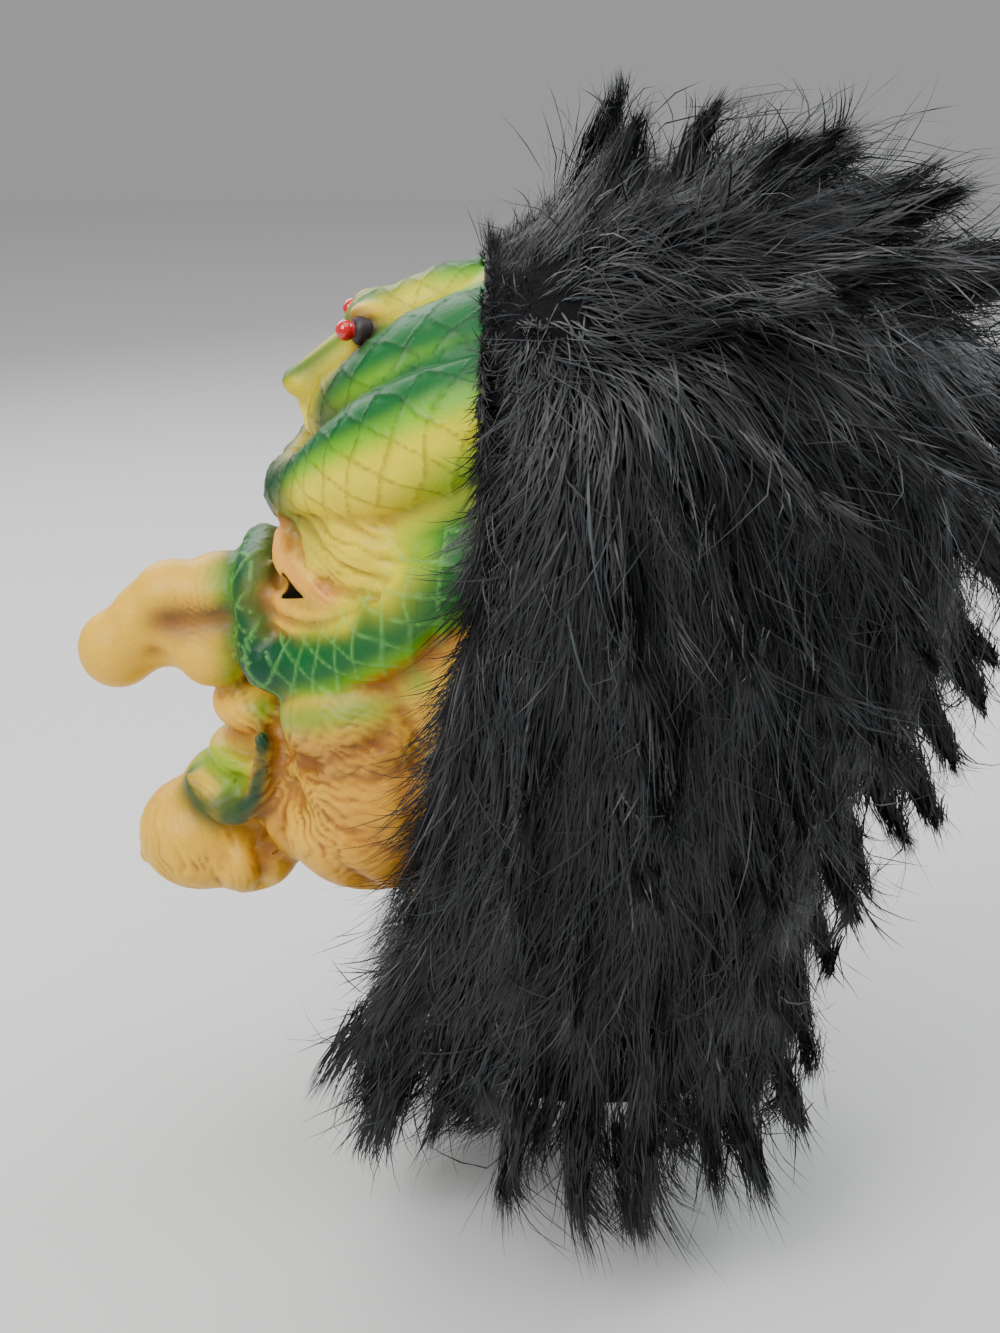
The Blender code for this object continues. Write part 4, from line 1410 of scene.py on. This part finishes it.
# Plain looks: colour and roughness, the fineness and height of the bumps, and what else is set
PLAIN_LOOKS = table(
    "name colour roughness scale detail strength distance others",
    ("raw_latex", (0.55, 0.42, 0.22), 0.6, 150, 4, 0.3, 0.001, {}),
    ("red_bulb", (0.62, 0.003, 0.006), 0.07, 90, 1, 0.05, 0.0005,
     {"Coat Weight": 0.8, "Coat Roughness": 0.03}),
    ("bulb_socket", (0.02, 0.013, 0.012), 0.5, 300, 2, 0.2, 0.0005, {}),
    # The undercoat, darker than the strands: painted shade deep in the fur between them
    ("fur_undercoat", (0.004, 0.004, 0.005), 0.9, 260, 4, 0.8, 0.003, {"Specular IOR Level": 0.15}),
)


def put_inputs(node, values):
    """Sets a node's inputs by their names."""
    for name, value in values.items():
        node.inputs[name].default_value = value


def shader_of(name, colour, roughness):
    """A new material with its nodes, its links and its shader."""
    material = bpy.data.materials.new(name)
    material.use_nodes = True
    tree = material.node_tree
    shader = tree.nodes["Principled BSDF"]
    put_inputs(shader, {"Base Color": (*colour, 1), "Roughness": roughness})
    return material, tree.nodes, tree.links, shader


def add_noise(nodes, links, scale, detail):
    """Smooth noise in the object's own metres."""
    place = nodes.new("ShaderNodeTexCoord")
    texture = nodes.new("ShaderNodeTexNoise")
    put_inputs(texture, {"Scale": scale, "Detail": detail})
    links.new(place.outputs["Object"], texture.inputs["Vector"])
    return texture.outputs["Fac"]


def add_range(nodes, links, value, low, high, first=0.0, last=1.0):
    """A value between first and last, brought to between low and high."""
    node = nodes.new("ShaderNodeMapRange")
    put_inputs(node, {"From Min": first, "From Max": last, "To Min": low, "To Max": high})
    links.new(value, node.inputs["Value"])
    return node.outputs["Result"]


def add_attribute(nodes, name):
    """A colour stored at the points of the mesh."""
    node = nodes.new("ShaderNodeAttribute")
    node.attribute_name = name
    return node.outputs["Color"]


def add_bump(nodes, links, shader, height, strength, distance):
    """Bumps on a shader from a height."""
    bump = nodes.new("ShaderNodeBump")
    put_inputs(bump, {"Strength": strength, "Distance": distance})
    links.new(height, bump.inputs["Height"])
    links.new(bump.outputs["Normal"], shader.inputs["Normal"])


def plain_material(name):
    """A material of one colour with fine bumps, from the table of plain looks."""
    look = next(row for row in PLAIN_LOOKS if row.name == name)
    material, nodes, links, shader = shader_of(name, look.colour, look.roughness)
    grain = add_noise(nodes, links, look.scale, look.detail)
    add_bump(nodes, links, shader, grain, look.strength, look.distance)
    put_inputs(shader, look.others)
    return material


def latex_material():
    """Airbrushed latex with a faint skin grain."""
    material, nodes, links, shader = shader_of("painted_latex", (0.75, 0.5, 0.15), 0.42)
    tint = nodes.new("ShaderNodeVectorMath")
    tint.operation = "SCALE"
    speckle = add_range(nodes, links, add_noise(nodes, links, 900, 3), 0.93, 1.05, 0.3, 0.7)
    gloss = add_range(nodes, links, add_noise(nodes, links, 60, 2), 0.34, 0.52)
    links.new(add_attribute(nodes, "paint"), tint.inputs[0])
    links.new(speckle, tint.inputs["Scale"])
    links.new(tint.outputs["Vector"], shader.inputs["Base Color"])
    links.new(gloss, shader.inputs["Roughness"])
    put_inputs(shader, {"Specular IOR Level": 0.3})
    add_bump(nodes, links, shader, add_noise(nodes, links, 420, 5), 0.28, 0.0008)
    return material


def cloth_material():
    """Black knitted cloth."""
    material, nodes, links, shader = shader_of("hood_cloth", (0.012, 0.012, 0.014), 0.85)
    place = nodes.new("ShaderNodeTexCoord")
    weave = nodes.new("ShaderNodeTexVoronoi")
    links.new(place.outputs["Object"], weave.inputs["Vector"])
    add_bump(nodes, links, shader, weave.outputs["Distance"], 0.6, 0.0008)
    put_inputs(weave, {"Scale": 700})
    put_inputs(shader, {"Sheen Weight": 0.25})
    return material


def hair_material():
    """Glossy black synthetic hair, with a shade to each strand."""
    material, nodes, links, shader = shader_of("black_fur", (0.012, 0.012, 0.014), 0.45)
    gloss = add_range(nodes, links, add_noise(nodes, links, 300, 1), 0.38, 0.56)
    links.new(add_attribute(nodes, "shade"), shader.inputs["Base Color"])
    links.new(gloss, shader.inputs["Roughness"])
    put_inputs(shader, {"Specular IOR Level": 0.46})
    return material


def settle(item, material, node):
    """Gives a piece its material and its body, and hides the plain solid that it stands for."""
    if not item.data.materials:
        item.data.materials.append(material)
    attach(item, BODY)
    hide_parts(node)


def make_bulb(name, side, materials):
    """A red bulb with its dark flange, turned round its axis."""
    mirror = Vector((side, 1, 1))
    centre = Vector(BULB_PLACE) * mirror - Vector(CROWN_SEAT)
    direction = (Vector(BULB_AXIS) * mirror).normalized()
    across = direction.cross(Vector((0, 0, 1))).normalized()
    lift = across.cross(direction)
    points = []
    for row in BULB_PROFILE:
        points += circle(centre + direction * row.along, row.radius, across, lift, BULB_SIDES)
    item = new_object(name, mesh_from(name, points, tube_faces(len(BULB_PROFILE), BULB_SIDES)))
    item.data.shade_smooth()
    item.data.set_sharp_from_angle(angle=math.radians(55))
    for material in materials:
        item.data.materials.append(material)
    for face in item.data.polygons:
        if (face.center / MM - centre).dot(direction) < FLANGE_END:
            face.material_index = 1
    return item


def dress_hood():
    """The hood's cloth: the solid itself, in black knit."""
    item = new_object("hood_knit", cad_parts["hood_backing"].data.copy())
    item.data.materials.clear()
    item.data.shade_smooth()
    item.data.set_sharp_from_angle(angle=math.radians(40))
    settle(item, cloth_material(), "hood_backing")


def dress_face():
    """The painted face and the snake's eyes."""
    face, face_tree = make_face((latex_material(), plain_material("raw_latex")))
    face.data.shade_smooth()
    settle(face, None, "face_shell")
    glass = (plain_material("red_bulb"), plain_material("bulb_socket"))
    for name, side in (("snake_eye_left", 1), ("snake_eye_right", -1)):
        settle(make_bulb("bulb_" + name, side, glass), None, name)
    return face_tree


def add_area(name, place, size, power, colour=(1, 1, 1)):
    """A soft square light that looks at the mask."""
    light = bpy.data.lights.new(name, "AREA")
    light.shape = "SQUARE"
    light.size = size
    light.energy = power
    light.color = colour
    item = new_object(name, light)
    item.location = place
    item.rotation_euler = (Vector(LIT_POINT) - Vector(place)).to_track_quat("-Z", "Y").to_euler()
    return item


def set_stage():
    """Camera as in the photograph, soft light and a plain pale floor."""
    camera = bpy.data.cameras.new("camera")
    camera.sensor_width = CAMERA["sensor"]
    camera.lens = CAMERA["lens"]
    camera.dof.use_dof = False
    eye = new_object("camera", camera)
    eye.location = CAMERA["place"]
    eye.rotation_euler = (math.radians(CAMERA["tilt"]), 0, math.radians(CAMERA["turn"]))
    bpy.context.scene.camera = eye
    lights = [
        add_area("window", (0.9, -1.0, 1.0), 1.0, 27),
        add_area("ceiling", (0.3, 0.0, 1.5), 1.6, 20),
        add_area("back", (-0.5, 1.1, 0.7), 0.9, 16, (0.92, 0.96, 1)),
        add_area("other_side", (-1.1, -0.6, 0.6), 1.0, 12),
    ]
    corners = [(x * FLOOR_HALF, y * FLOOR_HALF, -2) for x, y in ((-1, -1), (1, -1), (1, 1), (-1, 1))]
    floor = new_object("floor", mesh_from("floor", corners, [(0, 1, 2, 3)]))
    floor.location.z = FLOOR_Z
    pale, _, _, _ = shader_of("floor", (0.72, 0.72, 0.71), 0.7)
    floor.data.materials.append(pale)
    world = bpy.data.worlds.new("room")
    world.use_nodes = True
    put_inputs(world.node_tree.nodes["Background"], {"Color": (0.83, 0.84, 0.84, 1), "Strength": 0.42})
    bpy.context.scene.world = world


def main():
    """Builds every piece and sets the stage."""
    face_tree = dress_face()
    dress_hood()
    dress_fur(face_tree)
    set_stage()


main()
